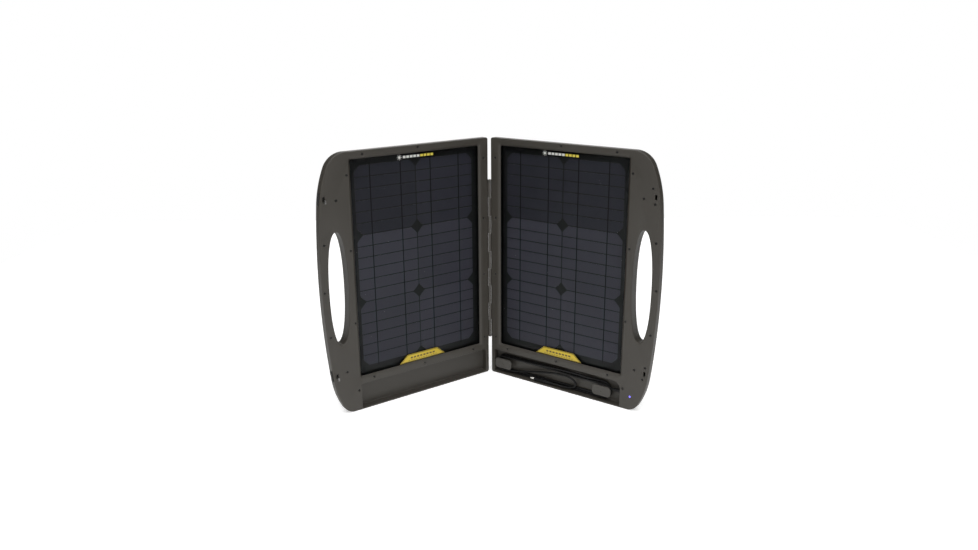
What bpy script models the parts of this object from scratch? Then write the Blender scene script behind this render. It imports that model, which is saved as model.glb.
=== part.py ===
"""Solar suitcase kit: two hinged half cases with a solar laminate in each, stood open in a V.

Sizes are millimetres until a mesh is made. Each half is drawn in its own flat frame:
u runs out from the hinge axis along the front face, w runs back from the closing plane, z is up.
The right half keeps that frame, the left half is its mirror, and both hang on the hinge axis.
"""

import math

import bmesh
import bpy
from mathutils import Matrix, Vector

MM = 0.001

# Overall case
case_height = 488.7
case_width = 367.0        # hinge axis to the widest point of the outer edge
open_angle = 107.8        # between the two front faces as the kit stands
hinge_gap = 3.0           # hinge axis to a half's side wall
face_gap = 0.4            # closing plane to the front face
front_depth = 10.6        # front frame, face to parting line
back_depth = 11.0         # back cover, parting line to back
gap = 0.3                 # between pieces that touch
wall = 2.5
face_thickness = 3.0
front_bevel = 1.0
back_round = 9.0          # how far the back cover's edge draws in
hinge_corner = 4.0        # corner radius beside the hinge

# Outer edge, bottom to top: radius and sweep of each stretch, which the two overall sizes stretch to fit
edge_start = 314.3
edge_arcs = ((26.0, 62.35, 6), (163.4, 20.52, 4), (1585.0, 11.88, 7), (215.8, 18.12, 4), (41.2, 67.13, 6))

# Window and laminate
hinge_stile = 22.1        # case side wall to window
outer_stile = 68.0        # window to the widest point
top_rail = 14.2
window_bottom = 67.0
window_corner = 3.0
glass_overlap = 2.4
gasket_thickness = 1.0
gasket_width = 2.0
glass_thickness = 3.2
cell_sheet_thickness = 0.8
backsheet_thickness = 0.5

# Tray under the window
tray_left = 10.0
tray_right_inset = 67.0   # tray end to the widest point
tray_floor_depth = 15.0   # front face to tray floor
tray_bottom = 2.75
tray_top = 52.0
tray_wall = 2.0
tray_corner = {-1: 2.0, 1: 15.0}

# Handle slot
slot_centre_inset = 33.4  # slot centre to the widest point
slot_width = 38.2
slot_height = 211.0
slot_fullness = 2.25      # exponent of the oval: 2 is an ellipse
slot_wall = 2.2
slot_bevel = 1.4

# Case screws at the corners of each half
screw_inner_line = 13.5
screw_outer_insets = (37.2, 39.5)    # widest point to the upper and the lower outer screw
screw_top_insets = (38.7, 82.7)      # case top to the upper inner and the upper outer screw
screw_low_heights = (79.0, 83.6)
screw_head_radius = 2.0
screw_head_height = 1.3
screw_shank_radius = 1.2
screw_length = 15.0
screw_sink = 0.5
boss_radius = 3.2

# Hinge
hinge_bottom = 78.0
hinge_top_inset = 82.2
knuckle_count = 9
knuckle_radius = 2.6
knuckle_play = 0.4
pin_radius = 1.0
leaf_thickness = 1.2
leaf_reach = 10.4

# Latches
upper_latch_inset = 80.1  # case top to the upper hook
lower_latch_height = 77.6
latch_inset = 7.6         # hook line to the outer edge beside it
latch_travel = 4.5
hook_width = 2.6
hook_depth = 4.0          # of the shank, along z
hook_lip = 2.5
lip_thickness = 1.8
latch_slot_width = 4.4
keeper_thickness = 1.0
keeper_margin = 0.8       # steel beside the slot on its outer side
keeper_inner = 5.0        # steel beside the hook line on its inner side
keeper_reach = 9.0        # below the slot, where the lip holds
keeper_above = 3.0
carriage_length = 16.0
carriage_inner = 6.5      # hook line to the carriage's inner side
carriage_outer = 2.2
carriage_depth = 5.6
thumb_length = 22.0
thumb_proud = 1.5
thumb_stand = 0.9         # side wall to the thumb piece
spring_length = 11.4
spring_radius = 2.0
spring_wire = 0.35
spring_turns = 5

# Kickstand leg on each back
leg_pivot_inset = 108.7   # case top to the leg's pin
leg_length = 300.0
leg_width = 46.0
leg_thickness = 4.6
leg_play = 0.6
leg_pin_radius = 1.5
leg_pin_reach = 4.0
foot_length = 9.0
recess_wall = 2.0
scoop_width = 74.0
scoop_height = 30.0
scoop_depth = 3.0

# Electrical pieces
junction_size = (64.0, 44.0, 7.0)
junction_top_gap = 34.0   # window top to junction box top
lead_radius = 1.9
board_size = (26.0, 24.0, 1.6)
board_offset = 20.5       # tray end to the board's middle
board_height = 31.0
led_radius = 2.0
led_offset = 20.9         # tray end to the light
led_height = 27.3

# Yellow tab on the glass
tab_base = 102.8
tab_crown = 71.0
tab_height = 14.5
tab_thickness = 0.6

# Cord, its cleats and its plug
cord_radius = 2.1
cleat_insets = (20.6, 40.5)   # tray end to cleat, at the hinge side and at the outer side
cleat_head = (40.0, 21.0, 2.8)
cleat_clearance = 0.95    # cord to the underside of a cleat's head
cleat_stem_height = 12.0
first_turn = 12.4         # radius of the inner turn at the cleats
turn_play = 0.1           # between turns
turn_lift = 0.85          # tray bottom to the outer turn
gland_height = 30.5
gland_length = 15.6
plug_start = 96.5
plug_height = 7.7
plug_radius = 3.9
plug_play = 0.4           # plug to the wound turns

# Depths from the closing plane
face = face_gap
face_back = face + face_thickness
parting = face + front_depth
cover_front = parting + gap
back = cover_front + back_depth
gasket_front = face_back + gap
glass_front = gasket_front + gasket_thickness + gap
cells_front = glass_front + glass_thickness + gap
backsheet_front = cells_front + cell_sheet_thickness + gap
laminate_back = backsheet_front + backsheet_thickness
tray_floor = face + tray_floor_depth

# Places along u and z
window_left = hinge_gap + hinge_stile
window_right = case_width - outer_stile
window_top = case_height - top_rail
tray_right = case_width - tray_right_inset
slot_centre = case_width - slot_centre_inset
window_middle = (window_left + window_right) / 2
slot_centre_height = case_height / 2
hinge_top = case_height - hinge_top_inset
latch_heights = {"upper": case_height - upper_latch_inset, "lower": lower_latch_height}
leg_pivot_height = case_height - leg_pivot_inset
cleat_centres = (tray_left + cleat_insets[0], tray_right - cleat_insets[1])
turn_radii = (first_turn, first_turn + 2 * cord_radius + turn_play)
cleat_height = tray_bottom + turn_lift + turn_radii[-1] + cord_radius
hank_back = tray_floor - gap
hank_front = hank_back - 2 * cord_radius - turn_play
gland_depth = hank_front - gap - cord_radius
cleat_head_top = gland_depth - cord_radius - cleat_clearance - cleat_head[2]
plug_depth = hank_front - plug_play - plug_radius
board_place = (tray_right + board_offset, board_height)
led_place = (tray_right + led_offset, led_height)
screw_places = ((screw_inner_line, case_height - screw_top_insets[0]),
                (screw_inner_line, screw_low_heights[0]),
                (case_width - screw_outer_insets[0], case_height - screw_top_insets[1]),
                (case_width - screw_outer_insets[1], screw_low_heights[1]))
half_angle = open_angle / 2


# ---------------------------------------------------------------- outlines in the u, z plane

def edge_points():
    """Outer edge of a half, bottom to top, stretched to the overall width and height."""
    points = [(edge_start, 0.0)]
    heading = 0.0
    for radius, sweep, steps in edge_arcs:
        start = points[-1]
        centre = (start[0] - radius * math.sin(heading), start[1] + radius * math.cos(heading))
        for step in range(1, steps + 1):
            angle = heading + math.radians(sweep) * step / steps
            points.append((centre[0] + radius * math.sin(angle), centre[1] - radius * math.cos(angle)))
        heading += math.radians(sweep)
    widest = max(u for u, z in points)
    tallest = points[-1][1]
    return [(u * case_width / widest, z * case_height / tallest) for u, z in points]


def arc(centre_u, centre_z, radius, start, stop, steps):
    points = []
    for step in range(steps + 1):
        angle = math.radians(start + (stop - start) * step / steps)
        points.append((centre_u + radius * math.cos(angle), centre_z + radius * math.sin(angle)))
    return points


def case_outline(inset):
    """The whole outline of a half, anticlockwise, drawn in by inset."""
    edge = edge_points()
    drawn = []
    for index, (u, z) in enumerate(edge):
        before = edge[max(index - 1, 0)]
        after = edge[min(index + 1, len(edge) - 1)]
        if index == 0:
            along = Vector((1.0, 0.0))
        elif index == len(edge) - 1:
            along = Vector((-1.0, 0.0))
        else:
            along = Vector((after[0] - before[0], after[1] - before[1])).normalized()
        drawn.append((u - along.y * inset, z + along.x * inset))
    radius = max(hinge_corner - inset, 0.8)
    side = hinge_gap + inset + radius
    drawn += arc(side, case_height - inset - radius, radius, 90, 180, 3)
    drawn += arc(side, inset + radius, radius, 180, 270, 3)
    return drawn


def rounded_rectangle(low_u, high_u, low_z, high_z, radius, steps=3, top_right=None):
    """A rectangle with round corners, anticlockwise; top_right gives that corner its own radius."""
    special = radius if top_right is None else top_right
    points = arc(high_u - radius, low_z + radius, radius, 270, 360, steps)
    points += arc(high_u - special, high_z - special, special, 0, 90, steps + 2)
    points += arc(low_u + radius, high_z - radius, radius, 90, 180, steps)
    points += arc(low_u + radius, low_z + radius, radius, 180, 270, steps)
    return points


def circle(centre_u, centre_z, radius, steps=12):
    return arc(centre_u, centre_z, radius, 0, 360 - 360 / steps, steps - 1)


def slot_outline(grow, steps=32):
    """The tall oval of the handle slot, made larger all round by grow."""
    points = []
    for step in range(steps):
        angle = 2 * math.pi * step / steps
        across = math.copysign(abs(math.cos(angle)) ** (2 / slot_fullness), math.cos(angle))
        up = math.copysign(abs(math.sin(angle)) ** (2 / slot_fullness), math.sin(angle))
        points.append((slot_centre + (slot_width / 2 + grow) * across,
                       slot_centre_height + (slot_height / 2 + grow) * up))
    return points


def racetrack(radius, steps=8):
    """The outline round both cleats at one radius."""
    near, far = cleat_centres
    return arc(far, cleat_height, radius, -90, 90, steps) + arc(near, cleat_height, radius, 90, 270, steps)


def edge_at(height):
    """How far out the outer edge lies at one height."""
    edge = edge_points()
    for low, high in zip(edge, edge[1:]):
        if low[1] <= height <= high[1]:
            share = (height - low[1]) / (high[1] - low[1])
            return low[0] + share * (high[0] - low[0])
    return edge_start


def hook_line(height):
    """How far out a latch's hook lies."""
    return edge_at(height) - latch_inset


def spring_line(height):
    """The middle of a latch's carriage, where its spring pushes."""
    return hook_line(height) + (carriage_outer - carriage_inner) / 2


# ---------------------------------------------------------------- solids

def mesh_object(name, points, faces):
    mesh = bpy.data.meshes.new(name)
    mesh.from_pydata([Vector(point) * MM for point in points], [], faces)
    work = bmesh.new()
    work.from_mesh(mesh)
    bmesh.ops.recalc_face_normals(work, faces=work.faces)
    work.to_mesh(mesh)
    work.free()
    thing = bpy.data.objects.new(name, mesh)
    bpy.context.collection.objects.link(thing)
    return thing


def loft(name, rings):
    """A closed solid through rings that have the same number of points."""
    count = len(rings[0])
    points = [point for ring in rings for point in ring]
    faces = [tuple(range(count)), tuple(range(len(points) - count, len(points)))]
    for level in range(len(rings) - 1):
        for index in range(count):
            here = level * count + index
            beside = level * count + (index + 1) % count
            faces.append((here, beside, beside + count, here + count))
    return mesh_object(name, points, faces)


def prism(name, outline, near, far):
    """An outline in the u, z plane taken from depth near to depth far."""
    return loft(name, [[(u, w, z) for u, z in outline] for w in (near, far)])


def block(name, low, high):
    """A box between two corners, each given as u, w, z."""
    outline = [(low[0], low[2]), (high[0], low[2]), (high[0], high[2]), (low[0], high[2])]
    return prism(name, outline, low[1], high[1])


def turned(name, profile, centre, axis, steps=12):
    """A round piece: profile lists radius and distance along the axis, which is 'u', 'w' or 'z'."""
    rings = []
    for radius, along in profile:
        ring = []
        for step in range(steps):
            angle = 2 * math.pi * (step + 0.5) / steps
            across, over = radius * math.cos(angle), radius * math.sin(angle)
            offset = {"u": (along, across, over), "w": (across, along, over), "z": (across, over, along)}[axis]
            ring.append(tuple(base + move for base, move in zip(centre, offset)))
        rings.append(ring)
    return loft(name, rings)


def tube(name, points, radius, resolution=2):
    """A round tube along points given as u, w, z."""
    curve = bpy.data.curves.new(name, "CURVE")
    curve.dimensions = "3D"
    curve.bevel_depth = radius * MM
    curve.bevel_resolution = resolution
    curve.use_fill_caps = True
    spline = curve.splines.new("POLY")
    spline.points.add(len(points) - 1)
    for slot, point in zip(spline.points, points):
        slot.co = (point[0] * MM, point[1] * MM, point[2] * MM, 1.0)
    thing = bpy.data.objects.new(name, curve)
    bpy.context.collection.objects.link(thing)
    return thing


def combine(base, others, operation):
    """Boolean each of the others into base, apply it, and drop the tools."""
    for other in others:
        modifier = base.modifiers.new(operation.lower(), "BOOLEAN")
        modifier.operation = operation
        modifier.solver = "EXACT"
        modifier.object = other
        bpy.context.view_layer.update()
        shaped = bpy.data.meshes.new_from_object(base.evaluated_get(bpy.context.evaluated_depsgraph_get()))
        base.modifiers.clear()
        base.data = shaped
        bpy.data.objects.remove(other)
    return base


def smooth_route(points, spacing):
    """Evenly spaced points on the smooth curve through a route's own points."""
    route = [Vector(point) for point in points]
    ends = [route[0] * 2 - route[1]] + route + [route[-1] * 2 - route[-2]]
    fine = [route[0]]
    for index in range(1, len(ends) - 2):
        a, b, c, d = ends[index - 1:index + 3]
        for step in range(1, 21):
            t = step / 20
            fine.append(0.5 * (b * 2 + (c - a) * t + (a * 2 - b * 5 + c * 4 - d) * t * t
                               + (b * 3 - a - c * 3 + d) * t * t * t))
    total = sum((after - before).length for before, after in zip(fine, fine[1:]))
    count = max(2, round(total / spacing))
    placed = [fine[0]]
    walked = 0.0
    for before, after in zip(fine, fine[1:]):
        length = (after - before).length
        while len(placed) < count and walked + length >= total * len(placed) / count:
            share = (total * len(placed) / count - walked) / length
            placed.append(before.lerp(after, share))
        walked += length
    placed.append(fine[-1])
    return placed


# ---------------------------------------------------------------- finishes and places

def finish(name, colour, roughness, metallic=0.0, alpha=1.0):
    material = bpy.data.materials.new(name)
    material.use_nodes = True
    shader = material.node_tree.nodes["Principled BSDF"]
    shader.inputs["Base Color"].default_value = (*colour, 1.0)
    shader.inputs["Roughness"].default_value = roughness
    shader.inputs["Metallic"].default_value = metallic
    shader.inputs["Alpha"].default_value = alpha
    return material


def half_frame(side):
    """The empty on the hinge axis that carries one half: side is 1 for the right, -1 for the left."""
    empty = bpy.data.objects.new("left_frame" if side < 0 else "right_frame", None)
    bpy.context.collection.objects.link(empty)
    empty.rotation_euler = (0.0, 0.0, -side * math.radians(90 - half_angle))
    return empty


def place(thing, side, parent, material, smooth=False):
    """Mirror a finished piece for the left half, give it its finish and hang it on its half."""
    if thing.type == "CURVE" and side < 0:
        for point in thing.data.splines[0].points:
            point.co.x = -point.co.x
    if thing.type == "MESH":
        if side < 0:
            thing.data.transform(Matrix.Scale(-1, 4, (1, 0, 0)))
            thing.data.flip_normals()
        if smooth:
            thing.data.shade_smooth()
            thing.data.set_sharp_from_angle(angle=math.radians(35))
    thing.data.materials.clear()
    thing.data.materials.append(material)
    thing.parent = parent
    return thing


def pivot(name, parent, side, point):
    """An empty on a joint's axis, in its half's frame; what hangs on it is drawn from there."""
    empty = bpy.data.objects.new(name, None)
    bpy.context.collection.objects.link(empty)
    empty.parent = parent
    empty.location = (side * point[0] * MM, point[1] * MM, point[2] * MM)
    return empty


def hang(thing, empty):
    """Re-hang a placed piece on an empty of the same half, keeping where it is."""
    thing.data.transform(Matrix.Translation(-empty.location))
    thing.parent = empty
    return thing


# ---------------------------------------------------------------- case shells

def latch_slot_span(height):
    """Bottom and top of the slot that leaves a hook its travel."""
    return height - hook_depth / 2 - 0.5, height + hook_depth / 2 + latch_travel + 0.5


def latch_slot(height, near, far):
    """The slot a hook works in: the shank's width and travel, with room for the lip."""
    half = latch_slot_width / 2
    low, high = latch_slot_span(height)
    return block("latch_slot", (hook_line(height) - half, near, low), (hook_line(height) + half, far, high))


def screw_bore(spot, radius, near, far):
    return turned("bore", [(radius, near), (radius, far)], (spot[0], 0.0, spot[1]), "w", 8)


def tray_outline(side, grow):
    corner = tray_corner[side]
    return rounded_rectangle(tray_left - grow, tray_right + grow, tray_bottom - grow, tray_top + grow,
                             1.0 + grow, 2, corner + grow)


def full_case(name):
    """The outer shape of a whole half, used to trim what reaches its skin."""
    rings = [(0.0, face)]
    for step in range(6):
        angle = math.radians(90 * step / 5)
        rings.append((back_round * (1 - math.cos(angle)), cover_front + back_depth * math.sin(angle)))
    return loft(name, [[(u, w, z) for u, z in case_outline(inset)] for inset, w in rings])


def front_frame(side):
    shell = loft("shell", [[(u, w, z) for u, z in case_outline(inset)]
                           for inset, w in ((front_bevel, face), (0.0, face + front_bevel), (0.0, parting))])
    cavity = prism("cavity", case_outline(wall), face_back, parting + 1)
    kept = [prism("slot_tube", slot_outline(slot_wall), face_back - 1, parting + 2),
            prism("tray_shell", tray_outline(side, tray_wall), face_back - 1, parting + 2)]
    if side < 0:
        for height in latch_heights.values():
            top = height + carriage_length / 2 + gap + spring_length + gap
            middle = spring_line(height)
            kept.append(block("spring_stop", (middle - 3.5, face_back - 1, top),
                              (middle + 3.5, parting - 1, top + 3)))
    combine(cavity, kept, "DIFFERENCE")
    combine(shell, [cavity], "DIFFERENCE")
    well = prism("well", tray_outline(side, tray_wall), parting - 1.0, tray_floor + tray_wall)
    combine(well, [full_case("skin")], "INTERSECT")
    combine(shell, [well], "UNION")
    window = rounded_rectangle(window_left, window_right, window_bottom, window_top, window_corner)
    slot_mouth = loft("slot_mouth", [[(u, w, z) for u, z in slot_outline(grow)]
                                     for grow, w in ((slot_bevel + 1, face - 1), (0.0, face + slot_bevel),
                                                     (0.0, parting + 3))])
    open_low = tray_outline(side, 0.0)
    removed = [prism("window", window, face - 1, parting + 1),
               slot_mouth,
               prism("tray", open_low, face - 1, tray_floor)]
    for spot in screw_places:
        seat = face + screw_sink + screw_head_height + gap
        removed.append(screw_bore(spot, screw_head_radius + gap, face - 1, seat))
        removed.append(screw_bore(spot, screw_shank_radius + gap, face, parting + 1))
    for height in latch_heights.values():
        removed.append(latch_slot(height, face - 1, face_back + 1))
        if side < 0:
            edge = edge_at(height)
            removed.append(block("lever_slot", (edge - wall - 1.5, 4.1, height - 4.6),
                                 (edge + 3, 7.9, height + 4.6 + latch_travel)))
    if side > 0:
        removed.append(turned("led_hole", [(led_radius + gap, face - 1), (led_radius + gap, parting)],
                              (led_place[0], 0.0, led_place[1]), "w", 10))
    for count, height in enumerate(hinge_screw_heights()):
        removed.append(turned("hinge_bore", [(1.7, 0.0), (1.7, 8.0)], (hinge_gap - 1, leaf_middle(), height), "u", 8))
    return combine(shell, removed, "DIFFERENCE")


def back_cover(side):
    rings = []
    inner = [(wall, cover_front - 1)]
    for step in range(6):
        angle = math.radians(90 * step / 5)
        drawn = back_round * (1 - math.cos(angle))
        rings.append((drawn, cover_front + back_depth * math.sin(angle)))
        inner.append((wall + drawn * 0.9, cover_front + (back_depth - wall) * math.sin(angle)))
    shell = loft("shell", [[(u, w, z) for u, z in case_outline(inset)] for inset, w in rings])
    cavity = loft("cavity", [[(u, w, z) for u, z in case_outline(inset)] for inset, w in inner])
    half_leg = leg_width / 2 + leg_play
    recess_top = leg_pivot_height + leg_thickness / 2 + leg_play
    recess_low = leg_pivot_height - leg_length - leg_play
    recess_front = back - leg_thickness - leg_play
    grow = recess_wall
    ear = leg_pin_reach + 2
    scoop_low = recess_low - 4
    kept = [prism("slot_tube", slot_outline(slot_wall), cover_front - 2, back + 1),
            block("recess_shell", (window_middle - half_leg - grow, recess_front - grow, recess_low - grow),
                  (window_middle + half_leg + grow, back + 1, recess_top + grow)),
            block("pin_ears", (window_middle - half_leg - ear, recess_front - grow, leg_pivot_height - 6),
                  (window_middle + half_leg + ear, back + 1, recess_top + grow)),
            block("scoop_shell", (window_middle - scoop_width / 2 - grow, back - scoop_depth - grow, scoop_low - grow),
                  (window_middle + scoop_width / 2 + grow, back + 1, scoop_low + scoop_height + grow))]
    for spot in screw_places:
        kept.append(screw_bore(spot, boss_radius, cover_front, back))
    for share in (0.16, 0.84):
        across = window_left + share * (window_right - window_left)
        kept.append(block("rib", (across - 1, laminate_back + gap, window_bottom + 20),
                          (across + 1, back, window_top - junction_top_gap - junction_size[1] - 15)))
    combine(cavity, kept, "DIFFERENCE")
    combine(shell, [cavity], "DIFFERENCE")
    slot_mouth = loft("slot_mouth", [[(u, w, z) for u, z in slot_outline(grown)]
                                     for grown, w in ((0.0, cover_front - 3), (0.0, back - slot_bevel),
                                                      (slot_bevel + 1, back + 1))])
    tray_notch = prism("tray_notch", tray_outline(side, tray_wall + gap), cover_front - 2,
                       tray_floor + tray_wall + gap)
    removed = [slot_mouth, tray_notch,
               block("recess", (window_middle - half_leg, recess_front, recess_low),
                     (window_middle + half_leg, back + 2, recess_top)),
               block("scoop", (window_middle - scoop_width / 2, back - scoop_depth, scoop_low),
                     (window_middle + scoop_width / 2, back + 2, scoop_low + scoop_height)),
               turned("pin_bore", [(leg_pin_radius + gap, -half_leg - leg_pin_reach),
                                   (leg_pin_radius + gap, half_leg + leg_pin_reach)],
                      (window_middle, leg_axis_depth(), leg_pivot_height), "u", 10)]
    for spot in screw_places:
        tip = face + screw_sink + screw_length + gap
        removed.append(screw_bore(spot, screw_shank_radius + gap, cover_front - 2, tip))
    return combine(shell, removed, "DIFFERENCE")


# ---------------------------------------------------------------- laminate and electrics

def laminate_outline(grow):
    return rounded_rectangle(window_left - grow, window_right + grow, window_bottom - grow, window_top + grow, 1.5, 2)


def panel_gasket():
    ring = prism("panel_gasket", laminate_outline(glass_overlap), gasket_front, gasket_front + gasket_thickness)
    return combine(ring, [prism("hole", laminate_outline(glass_overlap - gasket_width),
                                gasket_front - 1, glass_front + 1)], "DIFFERENCE")


def junction_box():
    """An open box glued to the laminate's back, with its lid on the far side."""
    width, height, depth = junction_size
    low = (window_middle - width / 2, laminate_back + gap, window_top - junction_top_gap - height)
    high = (window_middle + width / 2, low[1] + depth, low[2] + height)
    base = block("junction_box", low, high)
    hollow = block("hollow", (low[0] + 2, low[1] + 1.5, low[2] + 2), (high[0] - 2, high[1] + 1, high[2] - 2))
    exit_hole = turned("exit", [(lead_radius + gap, -3), (lead_radius + gap, 3)],
                       (low[0] + 1, low[1] + 4, low[2] + height / 2), "u", 10)
    lid = block("junction_lid", (low[0], high[1] + gap, low[2]), (high[0], high[1] + gap + 1.4, high[2]))
    return combine(base, [hollow, exit_hole], "DIFFERENCE"), lid


def panel_lead():
    """The lead from the junction box to the hinge stile, then down inside it."""
    width, height, depth = junction_size
    start_u = window_middle - width / 2 - 2
    start_z = window_top - junction_top_gap - height / 2
    start_w = laminate_back + gap + 4
    run = hinge_gap + wall + 12
    route = [(start_u + 3.6, start_w, start_z), (start_u - 10, start_w, start_z),
             (start_u - 40, start_w, start_z - 3), (run + 24, start_w, start_z - 10),
             (run + 8, start_w, start_z - 26), (run, start_w, start_z - 60), (run, start_w, start_z - 160),
             (run, start_w, window_bottom + 50)]
    return tube("panel_lead", smooth_route(route, 14), lead_radius)


def yellow_tab():
    low = window_bottom + 1.0
    sits = glass_front - gap - tab_thickness
    base, crown = tab_base / 2, tab_crown / 2
    rounding = arc(crown - 3, tab_height - 3, 4, 75, 35, 3)
    outline = [(window_middle + base, low)]
    outline += [(window_middle + u, low + z) for u, z in reversed(rounding)]
    outline += [(window_middle - u, low + z) for u, z in rounding]
    outline.append((window_middle - base, low))
    return prism("yellow_tab", outline, sits, sits + tab_thickness)


# ---------------------------------------------------------------- hinge

def knuckle_spans(side):
    """Bottom and top of each knuckle that one leaf carries: the left has one more."""
    pitch = (hinge_top - hinge_bottom) / knuckle_count
    first = 0 if side < 0 else 1
    spans = []
    for index in range(first, knuckle_count, 2):
        low = hinge_bottom + index * pitch
        spans.append((low + knuckle_play / 2, low + pitch - knuckle_play / 2))
    return spans


def hinge_screw_heights():
    pitch = (hinge_top - hinge_bottom) / knuckle_count
    return [hinge_bottom + pitch * 0.5, hinge_top - pitch * 0.5]


def leaf_middle():
    return (knuckle_radius + leaf_reach) / 2 + 0.6


def hinge_leaf(side):
    outer = hinge_gap - gap
    inner = outer - leaf_thickness
    plate = block("hinge_leaf", (inner, knuckle_radius + 0.6, hinge_bottom), (outer, leaf_reach, hinge_top))
    for low, high in knuckle_spans(side):
        barrel = turned("knuckle", [(knuckle_radius, low), (knuckle_radius, high)], (0.0, 0.0, 0.0), "z", 14)
        neck = block("neck", (inner, 0.7, low + 0.2), (outer - 0.15, knuckle_radius + 1.4, high - 0.2))
        combine(plate, [neck, barrel], "UNION")
    bores = [turned("bore", [(pin_radius + gap, hinge_bottom - 2), (pin_radius + gap, hinge_top + 2)],
                    (0.0, 0.0, 0.0), "z", 14)]
    for height in hinge_screw_heights():
        bores.append(turned("bore", [(1.7, -2.0), (1.7, 4.0)], (inner, leaf_middle(), height), "u", 8))
    return combine(plate, bores, "DIFFERENCE")


def hinge_screw(height):
    inner = hinge_gap - gap - leaf_thickness
    profile = [(2.4, -0.9), (2.4, -gap), (1.4, -gap), (1.4, 7.0)]
    return turned("hinge_screw", profile, (inner, leaf_middle(), height), "u", 8)


# ---------------------------------------------------------------- latches

def latch_hook(height):
    line = hook_line(height)
    half = hook_width / 2
    low = height - hook_depth / 2
    reach = face_back + gap + keeper_thickness + gap
    tip = -(reach + lip_thickness)
    shank = block("latch_hook", (line - half, tip, low), (line + half, 8.0, low + hook_depth))
    lip = block("lip", (line - half, tip, low - hook_lip), (line + half, -reach, low + 1))
    return combine(shank, [lip], "UNION")


def latch_slider(height):
    """The carriage behind the face, its stem through the side wall and the thumb piece outside."""
    line = hook_line(height)
    near = face_back + gap
    far = near + carriage_depth
    low = height - carriage_length / 2
    high = height + carriage_length / 2
    thumb_low = height - thumb_length * 0.4
    thumb_high = height + thumb_length * 0.6
    inner_low, inner_high = edge_at(thumb_low) + thumb_stand, edge_at(thumb_high) + thumb_stand
    carriage = block("latch_slider", (line - carriage_inner, near, low), (line + carriage_outer, far, high))
    stem = block("stem", (line, 4.5, height - 4), (edge_at(height) + thumb_stand + 0.6, 7.5, height + 4))
    thumb = prism("thumb", [(inner_low, thumb_low), (inner_low + thumb_proud, thumb_low + 1.5),
                            (inner_high + thumb_proud, thumb_high - 1.5), (inner_high, thumb_high)], 3.4, 8.6)
    combine(carriage, [stem, thumb], "UNION")
    pocket = block("pocket", (line - hook_width / 2 - gap, near - 1, height - hook_depth / 2 - gap),
                   (line + hook_width / 2 + gap, 8.0 + gap, height + hook_depth / 2 + gap))
    return combine(carriage, [pocket], "DIFFERENCE")


def latch_spring(height):
    start = height + carriage_length / 2 + gap + spring_wire
    rise = spring_length - 2 * spring_wire
    steps = spring_turns * 8
    points = []
    for step in range(steps + 1):
        angle = 2 * math.pi * step / 8
        points.append((spring_line(height) + spring_radius * math.cos(angle),
                       face_back + gap + carriage_depth / 2 + spring_radius * math.sin(angle),
                       start + rise * step / steps))
    return tube("latch_spring", points, spring_wire, 0)


def keeper(height):
    """The steel plate behind the right face whose slot the hook's lip catches."""
    line = hook_line(height)
    low, high = latch_slot_span(height)
    plate = block("keeper", (line - keeper_inner, face_back + gap, low - keeper_reach),
                  (line + latch_slot_width / 2 + keeper_margin, face_back + gap + keeper_thickness,
                   high + keeper_above))
    return combine(plate, [latch_slot(height, face_back - 1, face_back + 4)], "DIFFERENCE")


# ---------------------------------------------------------------- kickstand

def leg_axis_depth():
    return back - leg_thickness / 2


def leg():
    """A flat leg with a round head on its pin, a lightening slot and a step for the rubber foot."""
    axis = leg_axis_depth()
    near, far = back - leg_thickness, back
    half = leg_width / 2
    low = leg_pivot_height - leg_length + foot_length
    plan = [(window_middle - half * 0.72, low), (window_middle + half * 0.72, low),
            (window_middle + half, low + 60), (window_middle + half, leg_pivot_height),
            (window_middle - half, leg_pivot_height), (window_middle - half, low + 60)]
    plate = prism("leg", plan, near, far)
    head = turned("head", [(leg_thickness / 2, -half), (leg_thickness / 2, half)],
                  (window_middle, axis, leg_pivot_height), "u", 16)
    combine(plate, [head], "UNION")
    window = rounded_rectangle(window_middle - half * 0.45, window_middle + half * 0.45, low + 60,
                               leg_pivot_height - 30, 6.0)
    bore = turned("bore", [(leg_pin_radius + gap, -half - 2), (leg_pin_radius + gap, half + 2)],
                  (window_middle, axis, leg_pivot_height), "u", 10)
    return combine(plate, [prism("window", window, near - 1, far + 1), bore], "DIFFERENCE")


def leg_foot():
    low = leg_pivot_height - leg_length
    half = leg_width / 2 * 0.72
    outline = rounded_rectangle(window_middle - half, window_middle + half, low, low + foot_length - gap, 2.0, 2)
    return prism("leg_foot", outline, back - leg_thickness, back)


def leg_pin():
    reach = leg_width / 2 + leg_play + leg_pin_reach - gap
    return turned("leg_pin", [(leg_pin_radius, -reach), (leg_pin_radius, reach)],
                  (window_middle, leg_axis_depth(), leg_pivot_height), "u", 10)


# ---------------------------------------------------------------- cord

def cleat(centre):
    """A post with a flat rounded head that the cord winds round."""
    head_width, head_height, head_thickness = cleat_head
    stem_half = first_turn - cord_radius - gap
    head = prism("cleat", rounded_rectangle(centre - head_width / 2, centre + head_width / 2,
                                            cleat_height - head_height / 2, cleat_height + head_height / 2,
                                            7.0, 4), cleat_head_top, cleat_head_top + head_thickness)
    stem = prism("stem", rounded_rectangle(centre - stem_half, centre + stem_half,
                                           cleat_height - cleat_stem_height / 2,
                                           cleat_height + cleat_stem_height / 2,
                                           cleat_stem_height / 2 - 0.1, 4), cleat_head_top + 1, tray_floor - gap)
    return combine(head, [stem], "UNION")


def cord_hank():
    """The wound part of the cord: two turns side by side round both cleats."""
    outer = prism("cord_hank", racetrack(turn_radii[-1] + cord_radius), hank_front, hank_back)
    return combine(outer, [prism("hole", racetrack(turn_radii[0] - cord_radius), hank_front - 1, hank_back + 1)],
                   "DIFFERENCE")


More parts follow.
